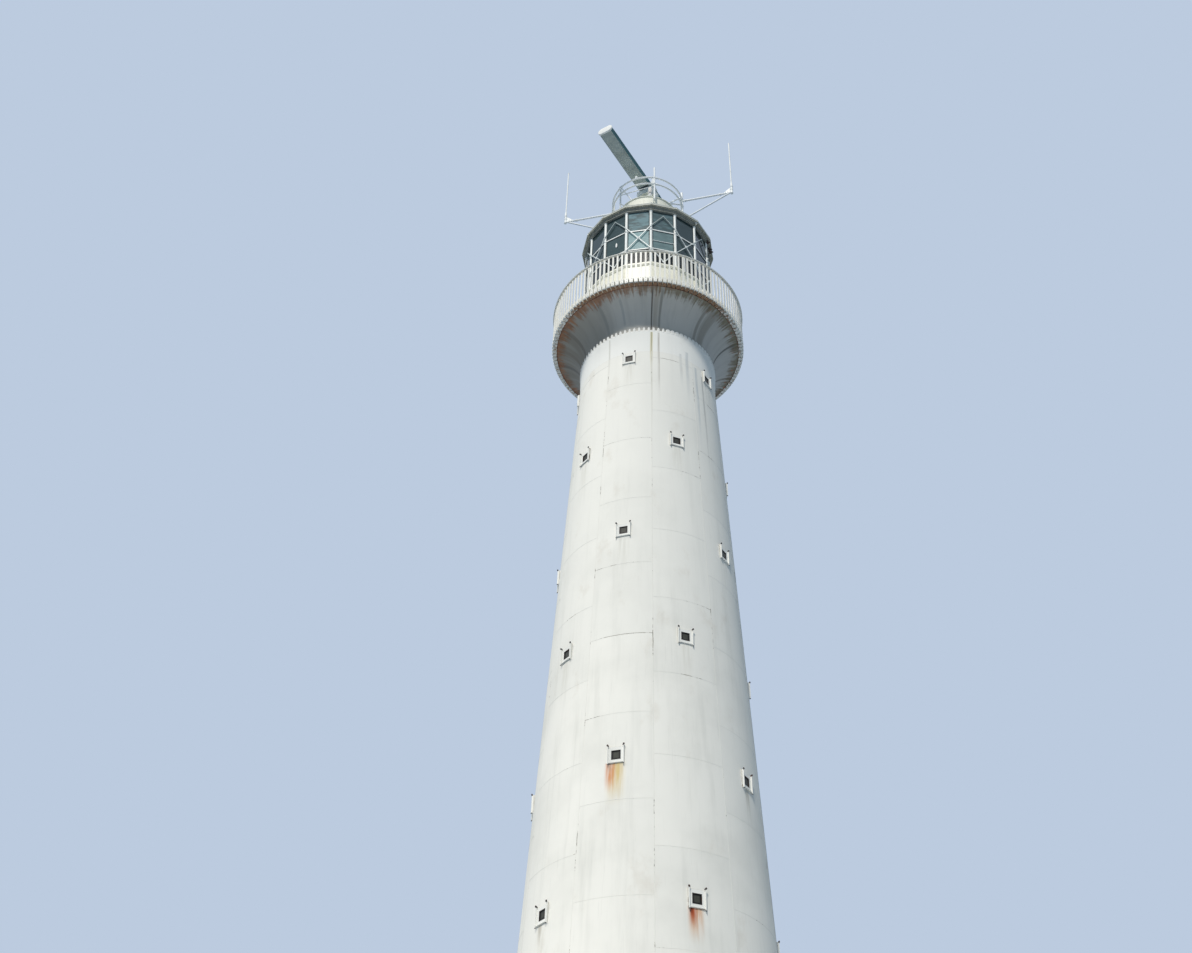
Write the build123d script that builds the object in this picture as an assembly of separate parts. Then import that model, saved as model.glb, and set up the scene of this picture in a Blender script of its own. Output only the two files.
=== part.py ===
"""Iron lighthouse tower with gallery, sixteen-sided lantern and roof scanner, as a 1:2 scale model.

All sizes are millimetres of the model, half of the full-size tower. The origin is the centre of the
flat underside of the base plate, +Z is up and the front of the tower faces -Y. A bearing is an angle
in degrees about +Z, 0 at the front (-Y) and positive towards +X.
"""
import os
from math import cos, radians, sin, tan

from build123d import *

# Tower shell of bolted iron plates
COLUMNS = 10                      # plates round the tower
FRONT_SEAM = 3.0                  # bearing of the joint between two plate columns nearest the front
PLATE_HEIGHT = 1219.2             # one plate, 8 ft at full size
PLATES_PER_STOREY = 1.5           # a storey of 12 ft at full size
WINDOW_ROWS = 8                   # the top row is in the middle of the topmost plates
BASE_RADIUS = 1790.0              # outer radius of the shell at the ground
TOP_RADIUS = 1096.0               # outer radius of the shell under the flare
PLATE_THICKNESS = 12.0
BASE_PLATE_THICKNESS = 60.0
BASE_PLATE_MARGIN = 60.0          # how far the base plate stands out past the shell
PLATES_PER_TIER = 3               # plates in one solid of a column, from one window to the next

# Floors
FLOOR_THICKNESS = 16.0
FLOOR_CLEARANCE = 0.3
EDGE_RING_WIDTH = 60.0            # flange under a floor's edge, bolted to the shell
EDGE_RING_HEIGHT = 12.0
HATCH_SIZE = 450.0
HATCH_OFFSET = 560.0              # centre of the stair hatch behind the axis

# Windows
WINDOW_WIDTH = 120.0              # clear opening
WINDOW_HEIGHT = 128.0
CASING_HALF_WIDTH = 104.0
CASING_HALF_HEIGHT = 108.0
CASING_PROUD = 9.0
CHEEK_THICKNESS = 8.0
CHEEK_HEIGHT = 250.0
CHEEK_PROUD = 30.0
LIP_HEIGHT = 8.0
LIP_PROUD = 22.0
PANE_THICKNESS = 6.0
PANE_CLEARANCE = 0.3

# Entrance at the back
DOOR_COLUMN = 6                   # counted from the first column left of the front seam
DOOR_WIDTH = 520.0
DOOR_HEIGHT = 1040.0
DOOR_FRAME_WIDTH = 50.0
DOOR_FRAME_PROUD = 45.0

# Flare under the gallery
FLARE_REACH = 452.0               # from the top of the shell out to the rim
FLARE_RISE = 632.0                # from the top of the shell up to the rim's lower edge
RIM_BAND = 168.0                  # upright band between the rim's lower edge and the deck
FLARE_NECK = 40.0                 # straight height above the collar before the curve starts
FLARE_THICKNESS = 12.0
COLLAR_PROUD = 32.0               # flange ring that the flare stands on
COLLAR_THICKNESS = 24.0

# Gallery
DECK_THICKNESS = 40.0
RAIL_PANELS = 26
BALUSTERS_PER_PANEL = 5
BALUSTER_WIDTH = 30.0
BALUSTER_THICKNESS = 12.0
FOOT_REACH = 80.0                 # from the rim to the outer face of the balusters
FOOT_WIDTH = 56.0
FOOT_HEIGHT = 138.0
FOOT_SLOPE = 26.0                 # lower outer edge of a foot, sloped off
RAIL_HEIGHT = 582.0               # top of the rail above the deck
RAIL_WIDTH = 44.0
RAIL_THICKNESS = 12.0

# Lantern
LANTERN_SIDES = 16
POST_MARGIN = 12.0                # centres of the corner posts outside the top of the shell
POST_RADIUS = 25.0
WALL_MARGIN = 18.0               # outer corners of the pedestal wall outside the post centres
WALL_HEIGHT = 900.0               # from the deck to the top of the sill
WALL_PANEL_THICKNESS = 20.0
SILL_THICKNESS = 36.0
SILL_PROUD = 26.0
PANE_HEIGHTS = (400.0, 510.0, 530.0)  # lower, middle and upper row of panes
TRANSOM_HEIGHT = 22.0
TRANSOM_DEPTH = 34.0
GLASS_THICKNESS = 8.0
ROD_SIZE = 14.0
LATTICE_LIFT = 285.0              # crossing of the rods above the lower transom, in every other bay
LATTICE_RISE = 315.0              # rise of a rod over half a bay
GALLERY_DOOR_SIDE = 7             # counted from the first side right of the front corner
GALLERY_DOOR_WIDTH = 320.0
GALLERY_DOOR_SILL = 50.0
GALLERY_DOOR_HEIGHT = 760.0
GALLERY_DOOR_THICKNESS = 12.0

# Eave, roof and drum
HEAD_THICKNESS = 85.0
HEAD_PROUD = 34.0                 # outer corners of the head ring outside the post centres
HEAD_INSET = 44.0
EAVE_PROUD = 88.0                 # outer corners of the eave outside the post centres
EAVE_THICKNESS = 40.0
FASCIA_DRIP = 8.0
FASCIA_THICKNESS = 16.0
ROOF_HEIGHT = 600.0
ROOF_THICKNESS = 12.0
DRUM_RADIUS = 552.0
DRUM_HEIGHT = 460.0
DRUM_WALL = 10.0
DRUM_LID_THICKNESS = 16.0
DRUM_LID_PROUD = 14.0

# Ring rail round the drum
RING_GAP = 112.0                  # from the drum's wall to the middle of the ring's tube
RING_TUBE_RADIUS = 16.0
RING_LIFT = 440.0                 # top ring above the drum
RING_SPACING = 195.0
STANCHION_RADIUS = 17.0
STANCHION_DROP = 200.0            # foot of the stanchions below the drum's top
STANCHION_BEARINGS = (11.0, -50.0, -169.0, 130.0)
TALL_STANCHION = 0                # the first of them runs up past the top ring
TALL_STANCHION_RISE = 307.0
STANDOFF_RADIUS = 10.0
STANDOFF_DROPS = (150.0, 40.0)    # stand-off bars below the drum's top

# Whip aerials on their brackets
WHIP_BEARINGS = {"right": 78.0, "left": -102.0}
BRACKET_REACH = 958.0             # from the ring's tube out to the whip
WHIP_RADIUS = 12.0
WHIP_LENGTH = 1405.0
SOCKET_RADIUS = 20.0
SOCKET_HEIGHT = 190.0
ARM_RADIUS = 18.0
ARM_DROP = 40.0                   # arm below the top ring
STRUT_RADIUS = 15.0
STRUT_DROP = 575.0                # foot of the strut below the arm
STRUT_SETBACK = 30.0              # head of the strut in from the whip
UPRIGHT_RADIUS = 24.0
UPRIGHT_RISE = 205.0              # upright past the top ring
UPRIGHT_END = 30.0                # upright past the strut's foot
GUSSET_LENGTH = 180.0
GUSSET_THICKNESS = 8.0

# Scanner on the drum
PEDESTAL_BASE_RADIUS = 190.0
PEDESTAL_TOP_RADIUS = 120.0
PEDESTAL_HEIGHT = 680.0
GEARBOX_LENGTH = 330.0
GEARBOX_WIDTH = 260.0
GEARBOX_HEIGHT = 150.0
GEARBOX_CHAMFER = 37.5
SHAFT_RADIUS = 30.0
SHAFT_DEPTH = 60.0
SHAFT_CLEARANCE = 0.3
TURNTABLE_RADIUS = 95.0
TURNTABLE_THICKNESS = 34.0
TURNTABLE_GAP = 6.0
BEAM_LENGTH = 3180.0
BEAM_WIDTH = 275.0
BEAM_HEIGHT = 140.0
BEAM_CORNER = 62.0
END_CAP_THICKNESS = 18.0
END_CAP_PROUD = 8.0
BEAM_BEARING = -30.0

# Lamps
ROOF_LAMP_RADIUS = 36.0
ROOF_LAMP_HEIGHT = 250.0
ROOF_LAMP_ROUNDING = 16.0
ROOF_LAMP_STEM_RADIUS = 14.0
ROOF_LAMP_STEM_HEIGHT = 60.0
ROOF_LAMP_CIRCLE = 520.0
ROOF_LAMP_BEARING = 5.0
EAVE_LAMP_RADIUS = 16.0
EAVE_LAMP_HEIGHT = 60.0
EAVE_LAMP_CORNER = 2              # counted from the front corner to the right

# Values worked out from the sizes above
COLUMN_ANGLE = 360.0 / COLUMNS
FIRST_COLUMN = FRONT_SEAM - COLUMN_ANGLE / 2
SIDE_ANGLE = 360.0 / LANTERN_SIDES
HALF_SIDE = radians(SIDE_ANGLE / 2)
STOREY_HEIGHT = PLATES_PER_STOREY * PLATE_HEIGHT
TIER_HEIGHT = PLATES_PER_TIER * PLATE_HEIGHT
TOWER_TOP = WINDOW_ROWS * STOREY_HEIGHT + PLATE_HEIGHT / 2
TAPER = (BASE_RADIUS - TOP_RADIUS) / TOWER_TOP
RIM_RADIUS = TOP_RADIUS + FLARE_REACH
RIM_BOTTOM = TOWER_TOP + FLARE_RISE
FLARE_TOP = RIM_BOTTOM + RIM_BAND
DECK_TOP = FLARE_TOP + DECK_THICKNESS
BALUSTER_RADIUS = RIM_RADIUS + FOOT_REACH
RAIL_TOP = DECK_TOP + RAIL_HEIGHT
RAIL_ANGLE = 360.0 / RAIL_PANELS
POST_CIRCLE = TOP_RADIUS + POST_MARGIN
WALL_CORNER_RADIUS = POST_CIRCLE + WALL_MARGIN
SILL_Z = DECK_TOP + WALL_HEIGHT
LOWER_TRANSOM_Z = SILL_Z + PANE_HEIGHTS[0]
MIDDLE_TRANSOM_Z = LOWER_TRANSOM_Z + PANE_HEIGHTS[1]
HEAD_Z = MIDDLE_TRANSOM_Z + PANE_HEIGHTS[2]
LATTICE_Z = LOWER_TRANSOM_Z + LATTICE_LIFT
HEAD_TOP = HEAD_Z + HEAD_THICKNESS
HEAD_OUTER_RADIUS = POST_CIRCLE + HEAD_PROUD
HEAD_INNER_RADIUS = POST_CIRCLE - HEAD_INSET
EAVE_CORNER_RADIUS = POST_CIRCLE + EAVE_PROUD
FASCIA_TOP = HEAD_TOP + EAVE_THICKNESS
DRUM_BOTTOM = FASCIA_TOP + ROOF_HEIGHT
DRUM_TOP = DRUM_BOTTOM + DRUM_HEIGHT
RING_RADIUS = DRUM_RADIUS + RING_GAP
TOP_RING_Z = DRUM_TOP + RING_LIFT
LOW_RING_Z = TOP_RING_Z - RING_SPACING
WHIP_CIRCLE = RING_RADIUS + BRACKET_REACH
ARM_Z = TOP_RING_Z - ARM_DROP
STRUT_FOOT_Z = ARM_Z - STRUT_DROP
UPRIGHT_BOTTOM = STRUT_FOOT_Z - UPRIGHT_END
UPRIGHT_TOP = TOP_RING_Z + UPRIGHT_RISE
GEARBOX_BOTTOM = DRUM_TOP + PEDESTAL_HEIGHT
GEARBOX_TOP = GEARBOX_BOTTOM + GEARBOX_HEIGHT
TURNTABLE_BOTTOM = GEARBOX_TOP + TURNTABLE_GAP
BEAM_BOTTOM = TURNTABLE_BOTTOM + TURNTABLE_THICKNESS

NODES = {}


def keep(name, *pieces):
    """Store the solids of one node."""
    solids = []
    for piece in pieces:
        solids.extend(piece.solids())
    NODES[name] = Compound(children=solids) if len(solids) > 1 else solids[0]


def shell_radius(z):
    """Outer radius of the tapering shell at a height."""
    return BASE_RADIUS - TAPER * z


def turned(bearing, piece):
    """Turn a piece made at the front round the axis to its bearing."""
    return Rot(0, 0, bearing) * piece


def swept(points, angle):
    """Revolve a closed outline of (radius, height) points into a sector centred on the front."""
    outline = make_face(Plane.XZ * Polyline(*points, close=True))
    sector = revolve(outline, Axis.Z, revolution_arc=angle)
    return Rot(0, 0, -90 - angle / 2) * sector


def ring(outer, inner, bottom, top):
    """A round ring standing between two heights."""
    height = top - bottom
    body = Cylinder(outer, height, align=(Align.CENTER, Align.CENTER, Align.MIN))
    bore = Cylinder(inner, height, align=(Align.CENTER, Align.CENTER, Align.MIN))
    return Pos(0, 0, bottom) * (body - bore)


def upright(radius, bottom, top, circle=0.0, bearing=0.0):
    """A vertical round bar on a circle about the axis."""
    bar = Cylinder(radius, top - bottom, align=(Align.CENTER, Align.CENTER, Align.MIN))
    return turned(bearing, Pos(0, -circle, bottom) * bar)


def bar_between(start, end, radius):
    """A round bar between two points."""
    path = Line(start, end)
    section = Plane(origin=start, z_dir=path % 0) * Circle(radius)
    return sweep(section, path)


def front_block(width, depth, height, radius, bottom):
    """A block at the front whose inner face is at the given radius."""
    block = Box(width, depth, height, align=(Align.CENTER, Align.MAX, Align.MIN))
    return Pos(0, -radius, bottom) * block


def polygon(corner_radius):
    """The sixteen-sided outline with a corner on the front seam's bearing."""
    return RegularPolygon(corner_radius, LANTERN_SIDES, rotation=FRONT_SEAM)


def polygon_ring(outer, inner, bottom, top):
    """A sixteen-sided ring standing between two heights."""
    face = polygon(outer) - polygon(inner)
    return Pos(0, 0, bottom) * extrude(face, top - bottom)


def side_wedge(number, bottom, top):
    """The slice of space behind one side of the lantern."""
    reach = 2 * RIM_RADIUS
    corner_x = reach * tan(HALF_SIDE)
    face = make_face(Polyline((0, 0), (-corner_x, -reach), (corner_x, -reach), close=True))
    wedge = Pos(0, 0, bottom) * extrude(face, top - bottom, dir=(0, 0, 1))
    return turned(side_bearing(number), wedge)


def side_bearing(number):
    """Bearing of the middle of a side of the lantern."""
    return FRONT_SEAM + SIDE_ANGLE * (number + 0.5)


def column_bearing(column):
    """Bearing of the middle of a column of plates."""
    return FIRST_COLUMN + COLUMN_ANGLE * column


def window_heights(column):
    """Heights of the window centres in a column: every second row."""
    first = 2 if column % 2 == 0 else 1
    return [row * STOREY_HEIGHT for row in range(first, WINDOW_ROWS + 1, 2)]


def floor_levels():
    """Undersides of the upper floors."""
    return [(row + 0.5) * STOREY_HEIGHT for row in range(1, WINDOW_ROWS)]


def tier_limits(column):
    """Heights where one solid of a column ends and the next begins."""
    stagger = 0 if column % 2 == 0 else STOREY_HEIGHT
    limits = [TOWER_TOP]
    level = TOWER_TOP - stagger - TIER_HEIGHT
    while level > TIER_HEIGHT / 2:
        limits.append(level)
        level -= TIER_HEIGHT
    limits.append(BASE_PLATE_THICKNESS)
    return limits[::-1]


def wall_sector(column, bottom, top):
    """One column of plates between two heights, with its window openings."""
    outer_low, outer_high = shell_radius(bottom), shell_radius(top)
    wall = swept(
        [
            (outer_low, bottom),
            (outer_high, top),
            (outer_high - PLATE_THICKNESS, top),
            (outer_low - PLATE_THICKNESS, bottom),
        ],
        COLUMN_ANGLE,
    )
    for height in window_heights(column):
        if bottom < height < top:
            opening = Box(WINDOW_WIDTH, 8 * PLATE_THICKNESS, WINDOW_HEIGHT)
            wall -= Pos(0, -shell_radius(height), height) * opening
    if column == DOOR_COLUMN and bottom == BASE_PLATE_THICKNESS:
        wall -= front_block(DOOR_WIDTH, BASE_RADIUS, DOOR_HEIGHT, BASE_RADIUS / 2, bottom)
    return turned(column_bearing(column), wall)


def shell_core(bottom, top):
    """The solid core of the tower behind its outer face, as wide as one column of plates."""
    return swept(
        [(0, bottom), (shell_radius(bottom), bottom), (shell_radius(top), top), (0, top)],
        COLUMN_ANGLE,
    )


def make_shell():
    """The plated shell: five columns in each node, so that the solids of a node stand apart."""
    for parity, letter in enumerate("ab"):
        limits = tier_limits(parity)
        for tier in range(len(limits) - 1):
            sectors = [
                wall_sector(column, limits[tier], limits[tier + 1])
                for column in range(parity, COLUMNS, 2)
            ]
            keep(f"wall_tier_{tier + 1}_{letter}", *sectors)


def make_base_and_floors():
    """The base plate, and the iron floors with a flange under the edge and a stair hatch."""
    base = Cylinder(
        BASE_RADIUS + BASE_PLATE_MARGIN, BASE_PLATE_THICKNESS,
        align=(Align.CENTER, Align.CENTER, Align.MIN),
    )
    keep("base_plate", base)
    floors = []
    for level in floor_levels():
        radius = shell_radius(level + FLOOR_THICKNESS) - PLATE_THICKNESS - FLOOR_CLEARANCE
        disc = Cylinder(radius, FLOOR_THICKNESS, align=(Align.CENTER, Align.CENTER, Align.MIN))
        hatch = Pos(0, HATCH_OFFSET, 0) * Box(HATCH_SIZE, HATCH_SIZE, 3 * FLOOR_THICKNESS)
        edge_ring = ring(radius, radius - EDGE_RING_WIDTH, level - EDGE_RING_HEIGHT, level)
        floors.append(Pos(0, 0, level) * (disc - hatch) + edge_ring)
    keep("storey_floors", *floors)


def window_casing(height):
    """The casing round one opening: plate, two cheeks and a lip, its back fitted to the shell."""
    radius = shell_radius(height)
    back = radius - 2 * PLATE_THICKNESS
    depth = 2 * PLATE_THICKNESS
    casing = front_block(
        2 * CASING_HALF_WIDTH, depth + CASING_PROUD, 2 * CASING_HALF_HEIGHT, back, height - CASING_HALF_HEIGHT
    )
    for side in (-1, 1):
        cheek = front_block(
            CHEEK_THICKNESS, depth + CHEEK_PROUD, CHEEK_HEIGHT, back, height - CHEEK_HEIGHT / 2
        )
        casing += Pos(side * (CASING_HALF_WIDTH - CHEEK_THICKNESS / 2), 0, 0) * cheek
    lip = front_block(
        2 * CASING_HALF_WIDTH, depth + LIP_PROUD, LIP_HEIGHT, back, height - CASING_HALF_HEIGHT
    )
    casing += lip
    casing -= Pos(0, -radius, height) * Box(WINDOW_WIDTH, 8 * depth, WINDOW_HEIGHT)
    return casing - shell_core(height - CHEEK_HEIGHT, height + CHEEK_HEIGHT)


def window_pane(height):
    """The pane set in one opening."""
    pane = Box(WINDOW_WIDTH - 2 * PANE_CLEARANCE, PANE_THICKNESS, WINDOW_HEIGHT - 2 * PANE_CLEARANCE)
    return Pos(0, -shell_radius(height) + PANE_THICKNESS / 2, height) * pane


def make_windows():
    """Casings and panes of all the windows."""
    casings, panes = [], []
    for parity in range(2):
        for height in window_heights(parity):
            casing, pane = window_casing(height), window_pane(height)
            for column in range(parity, COLUMNS, 2):
                casings.append(turned(column_bearing(column), casing))
                panes.append(turned(column_bearing(column), pane))
    keep("window_casings", *casings)
    keep("window_panes", *panes)


def make_entrance():
    """The frame round the doorway at the back, its back fitted to the shell."""
    width = DOOR_WIDTH + 2 * DOOR_FRAME_WIDTH
    height = DOOR_HEIGHT + DOOR_FRAME_WIDTH
    inner = shell_radius(BASE_PLATE_THICKNESS + height) * cos(radians(COLUMN_ANGLE / 2))
    depth = shell_radius(BASE_PLATE_THICKNESS) + DOOR_FRAME_PROUD - inner
    frame = front_block(width, depth, height, inner, BASE_PLATE_THICKNESS)
    frame -= front_block(DOOR_WIDTH, 2 * depth, DOOR_HEIGHT, inner - depth / 2, BASE_PLATE_THICKNESS)
    frame -= shell_core(BASE_PLATE_THICKNESS, 2 * height)
    keep("entrance_frame", turned(column_bearing(DOOR_COLUMN), frame))


def flare_outline():
    """Section of one flare panel: a hollow curve from the collar out to the rim band."""
    foot = TOWER_TOP + COLLAR_THICKNESS
    neck = foot + FLARE_NECK
    inner_foot = TOP_RADIUS - FLARE_THICKNESS
    inner_rim = RIM_RADIUS - FLARE_THICKNESS
    inner_edge = RIM_BOTTOM + FLARE_THICKNESS
    underside = TangentArc((TOP_RADIUS, neck), (RIM_RADIUS, RIM_BOTTOM), tangent=(0, 1))
    upper_side = TangentArc((inner_foot, neck), (inner_rim, inner_edge), tangent=(0, 1))
    foot_line = Polyline((inner_foot, neck), (inner_foot, foot), (TOP_RADIUS, foot), (TOP_RADIUS, neck))
    band = Polyline(
        (RIM_RADIUS, RIM_BOTTOM), (RIM_RADIUS, FLARE_TOP), (inner_rim, FLARE_TOP), (inner_rim, inner_edge)
    )
    return make_face(Plane.XZ * (foot_line + underside + band + upper_side))


def make_flare():
    """The flange ring on the shell and the ten curved panels under the gallery."""
    inner = TOP_RADIUS - PLATE_THICKNESS - EDGE_RING_WIDTH
    keep("flare_collar", ring(TOP_RADIUS + COLLAR_PROUD, inner, TOWER_TOP, TOWER_TOP + COLLAR_THICKNESS))
    panel = revolve(flare_outline(), Axis.Z, revolution_arc=COLUMN_ANGLE)
    panel = Rot(0, 0, -90 - COLUMN_ANGLE / 2) * panel
    for parity, letter in enumerate("ab"):
        panels = [turned(column_bearing(column), panel) for column in range(parity, COLUMNS, 2)]
        keep(f"flare_panels_{letter}", *panels)


def railing_foot():
    """The block on the rim that carries one baluster."""
    inner, outer = RIM_RADIUS - FOOT_WIDTH, BALUSTER_RADIUS
    top = RIM_BOTTOM + FOOT_HEIGHT
    profile = Polyline(
        (-inner, RIM_BOTTOM), (-inner, top), (-outer, top), (-outer, RIM_BOTTOM + FOOT_SLOPE),
        (-outer + FOOT_SLOPE, RIM_BOTTOM), close=True,
    )
    block = extrude(make_face(Plane.YZ * profile), FOOT_WIDTH / 2, both=True)
    return block - upright(RIM_RADIUS, RIM_BOTTOM, top)


def railing_panel():
    """One panel of the railing: feet on the rim, flat balusters on them, and the top rail."""
    middle = BALUSTER_RADIUS - BALUSTER_THICKNESS / 2
    rail_outer = middle + RAIL_WIDTH / 2
    rail_inner = middle - RAIL_WIDTH / 2
    panel = swept(
        [
            (rail_outer, RAIL_TOP - RAIL_THICKNESS),
            (rail_outer, RAIL_TOP),
            (rail_inner, RAIL_TOP),
            (rail_inner, RAIL_TOP - RAIL_THICKNESS),
        ],
        RAIL_ANGLE,
    )
    bottom = RIM_BOTTOM + FOOT_SLOPE
    baluster = front_block(
        BALUSTER_WIDTH, BALUSTER_THICKNESS, RAIL_TOP - RAIL_THICKNESS / 2 - bottom,
        BALUSTER_RADIUS - BALUSTER_THICKNESS, bottom,
    )
    member = railing_foot() + baluster
    step = RAIL_ANGLE / BALUSTERS_PER_PANEL
    members = []
    for number in range(BALUSTERS_PER_PANEL):
        bearing = (number - (BALUSTERS_PER_PANEL - 1) / 2) * step
        members.append(turned(bearing, member))
    return panel.fuse(*members)


def make_gallery():
    """Deck and railing."""
    deck = Cylinder(RIM_RADIUS, DECK_THICKNESS, align=(Align.CENTER, Align.CENTER, Align.MIN))
    hatch = Pos(0, HATCH_OFFSET, 0) * Box(HATCH_SIZE, HATCH_SIZE, 3 * DECK_THICKNESS)
    keep("gallery_deck", Pos(0, 0, FLARE_TOP) * (deck - hatch))
    panel = railing_panel()
    for parity, letter in enumerate("ab"):
        bearings = [FRONT_SEAM + RAIL_ANGLE * (number + 0.5) for number in range(parity, RAIL_PANELS, 2)]
        keep(f"railing_panels_{letter}", *[turned(bearing, panel) for bearing in bearings])


def make_pedestal_wall():
    """The sixteen panels of the wall under the glass, with a doorway through one at the back."""
    wall = polygon_ring(
        WALL_CORNER_RADIUS, WALL_CORNER_RADIUS - WALL_PANEL_THICKNESS, DECK_TOP, SILL_Z - SILL_THICKNESS
    )
    sill = polygon_ring(
        WALL_CORNER_RADIUS + SILL_PROUD, POST_CIRCLE - 2 * POST_RADIUS, SILL_Z - SILL_THICKNESS, SILL_Z
    )
    whole = wall + sill
    door_bottom = DECK_TOP + GALLERY_DOOR_SILL
    doorway = front_block(
        GALLERY_DOOR_WIDTH, 4 * WALL_PANEL_THICKNESS, GALLERY_DOOR_HEIGHT,
        WALL_CORNER_RADIUS - 3 * WALL_PANEL_THICKNESS, door_bottom,
    )
    whole -= turned(side_bearing(GALLERY_DOOR_SIDE), doorway)
    for parity, letter in enumerate("ab"):
        panels = [
            whole & side_wedge(side, DECK_TOP, SILL_Z) for side in range(parity, LANTERN_SIDES, 2)
        ]
        keep(f"pedestal_wall_{letter}", *panels)
    middle = (WALL_CORNER_RADIUS - WALL_PANEL_THICKNESS / 2) * cos(HALF_SIDE)
    leaf = front_block(
        GALLERY_DOOR_WIDTH - 2 * PANE_CLEARANCE, GALLERY_DOOR_THICKNESS,
        GALLERY_DOOR_HEIGHT - 2 * PANE_CLEARANCE, middle - GALLERY_DOOR_THICKNESS / 2,
        door_bottom + PANE_CLEARANCE,
    )
    keep("gallery_door", turned(side_bearing(GALLERY_DOOR_SIDE), leaf))


def lantern_posts():
    """The round corner posts."""
    return [
        upright(POST_RADIUS, SILL_Z, HEAD_Z, POST_CIRCLE, FRONT_SEAM + SIDE_ANGLE * number)
        for number in range(LANTERN_SIDES)
    ]


def bay_pieces(depth, bottom, top):
    """One flat piece in each bay of the lantern, between its two posts."""
    length = 2 * (POST_CIRCLE * sin(HALF_SIDE) - POST_RADIUS)
    middle = POST_CIRCLE * cos(HALF_SIDE)
    block = front_block(length, depth, top - bottom, middle - depth / 2, bottom)
    return [turned(side_bearing(side), block) for side in range(LANTERN_SIDES)]


def lattice_rod(start, end):
    """A square rod outside the glass of the front bay, between two (across, height) points."""
    outside = POST_CIRCLE * cos(HALF_SIDE) + POST_RADIUS + ROD_SIZE / 2
    path = Line((start[0], -outside, start[1]), (end[0], -outside, end[1]))
    section = Plane(origin=path @ 0, z_dir=path % 0, x_dir=(0, 1, 0)) * Rectangle(ROD_SIZE, ROD_SIZE)
    return sweep(section, path)


def lattice_net():
    """Diagonal rods outside the glass: a cross in every other bay, and a vee over and under between."""
    half_bay = (POST_CIRCLE * cos(HALF_SIDE) + POST_RADIUS + ROD_SIZE / 2) * tan(HALF_SIDE)
    slope = LATTICE_RISE / half_bay
    past = half_bay + 2 * ROD_SIZE
    cross = lattice_rod((-past, LATTICE_Z - past * slope), (past, LATTICE_Z + past * slope))
    cross += lattice_rod((-past, LATTICE_Z + past * slope), (past, LATTICE_Z - past * slope))
    vees = []
    for sign in (-1, 1):
        apex = LATTICE_Z + sign * 2 * LATTICE_RISE
        for hand in (-1, 1):
            outer = (hand * past, apex - sign * past * slope)
            inner = (-hand * ROD_SIZE / 2, apex + sign * ROD_SIZE / 2 * slope)
            vees.append(lattice_rod(outer, inner))
    vee_pair = vees[0].fuse(*vees[1:])
    bays = []
    for side in range(LANTERN_SIDES):
        bay = cross if side % 2 else vee_pair
        wedge = side_wedge(side, LATTICE_Z - 3 * LATTICE_RISE, LATTICE_Z + 3 * LATTICE_RISE)
        bays.extend((turned(side_bearing(side), bay) & wedge).solids())
    return bays[0].fuse(*bays[1:])


def make_lantern():
    """Posts, transoms, lattice and the three rows of panes."""
    posts = lantern_posts()
    keep("lantern_posts", *posts)
    half = TRANSOM_HEIGHT / 2
    bars = []
    for level in (LOWER_TRANSOM_Z, MIDDLE_TRANSOM_Z):
        bars.extend(bay_pieces(TRANSOM_DEPTH, level - half, level + half))
    keep("lantern_transoms", *bars)
    keep("lantern_lattice", lattice_net())
    keep("lantern_panes_lower", *bay_pieces(GLASS_THICKNESS, SILL_Z, LOWER_TRANSOM_Z - half))
    keep("lantern_panes_middle", *bay_pieces(GLASS_THICKNESS, LOWER_TRANSOM_Z + half, MIDDLE_TRANSOM_Z - half))
    keep("lantern_panes_upper", *bay_pieces(GLASS_THICKNESS, MIDDLE_TRANSOM_Z + half, HEAD_Z))


def make_roof():
    """Head ring, eave, sixteen roof panels and the drum on top."""
    keep("lantern_head", polygon_ring(HEAD_OUTER_RADIUS, HEAD_INNER_RADIUS, HEAD_Z, HEAD_TOP))
    soffit = polygon_ring(EAVE_CORNER_RADIUS, HEAD_INNER_RADIUS, HEAD_TOP, FASCIA_TOP)
    lip = polygon_ring(
        EAVE_CORNER_RADIUS, EAVE_CORNER_RADIUS - FASCIA_THICKNESS, HEAD_TOP - FASCIA_DRIP, FASCIA_TOP
    )
    keep("eave", soffit + lip)

    def frustum(inset):
        """The space under the roof's outer face, or under its inner one."""
        low = Pos(0, 0, FASCIA_TOP) * polygon(EAVE_CORNER_RADIUS - inset)
        high = Pos(0, 0, DRUM_BOTTOM) * polygon(DRUM_RADIUS / cos(HALF_SIDE) - inset)
        return loft([low, high], ruled=True)

    shell = frustum(0) - frustum(2 * ROOF_THICKNESS)
    for parity, letter in enumerate("ab"):
        panels = [
            shell & side_wedge(side, FASCIA_TOP, DRUM_BOTTOM) for side in range(parity, LANTERN_SIDES, 2)
        ]
        keep(f"roof_panels_{letter}", *panels)
    drum = ring(DRUM_RADIUS, DRUM_RADIUS - DRUM_WALL, DRUM_BOTTOM, DRUM_TOP - DRUM_LID_THICKNESS)
    lid = upright(DRUM_RADIUS + DRUM_LID_PROUD, DRUM_TOP - DRUM_LID_THICKNESS, DRUM_TOP)
    keep("roof_drum", drum + lid)


def standoffs(bearing):
    """Short bars from the drum out to an upright on the ring."""
    bars = []
    for drop in STANDOFF_DROPS:
        height = DRUM_TOP - drop
        bar = bar_between((0, -DRUM_RADIUS + DRUM_WALL, height), (0, -RING_RADIUS, height), STANDOFF_RADIUS)
        drum = upright(DRUM_RADIUS, height - 2 * STANDOFF_RADIUS, height + 2 * STANDOFF_RADIUS)
        bars.append(turned(bearing, bar - drum))
    return bars


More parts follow.
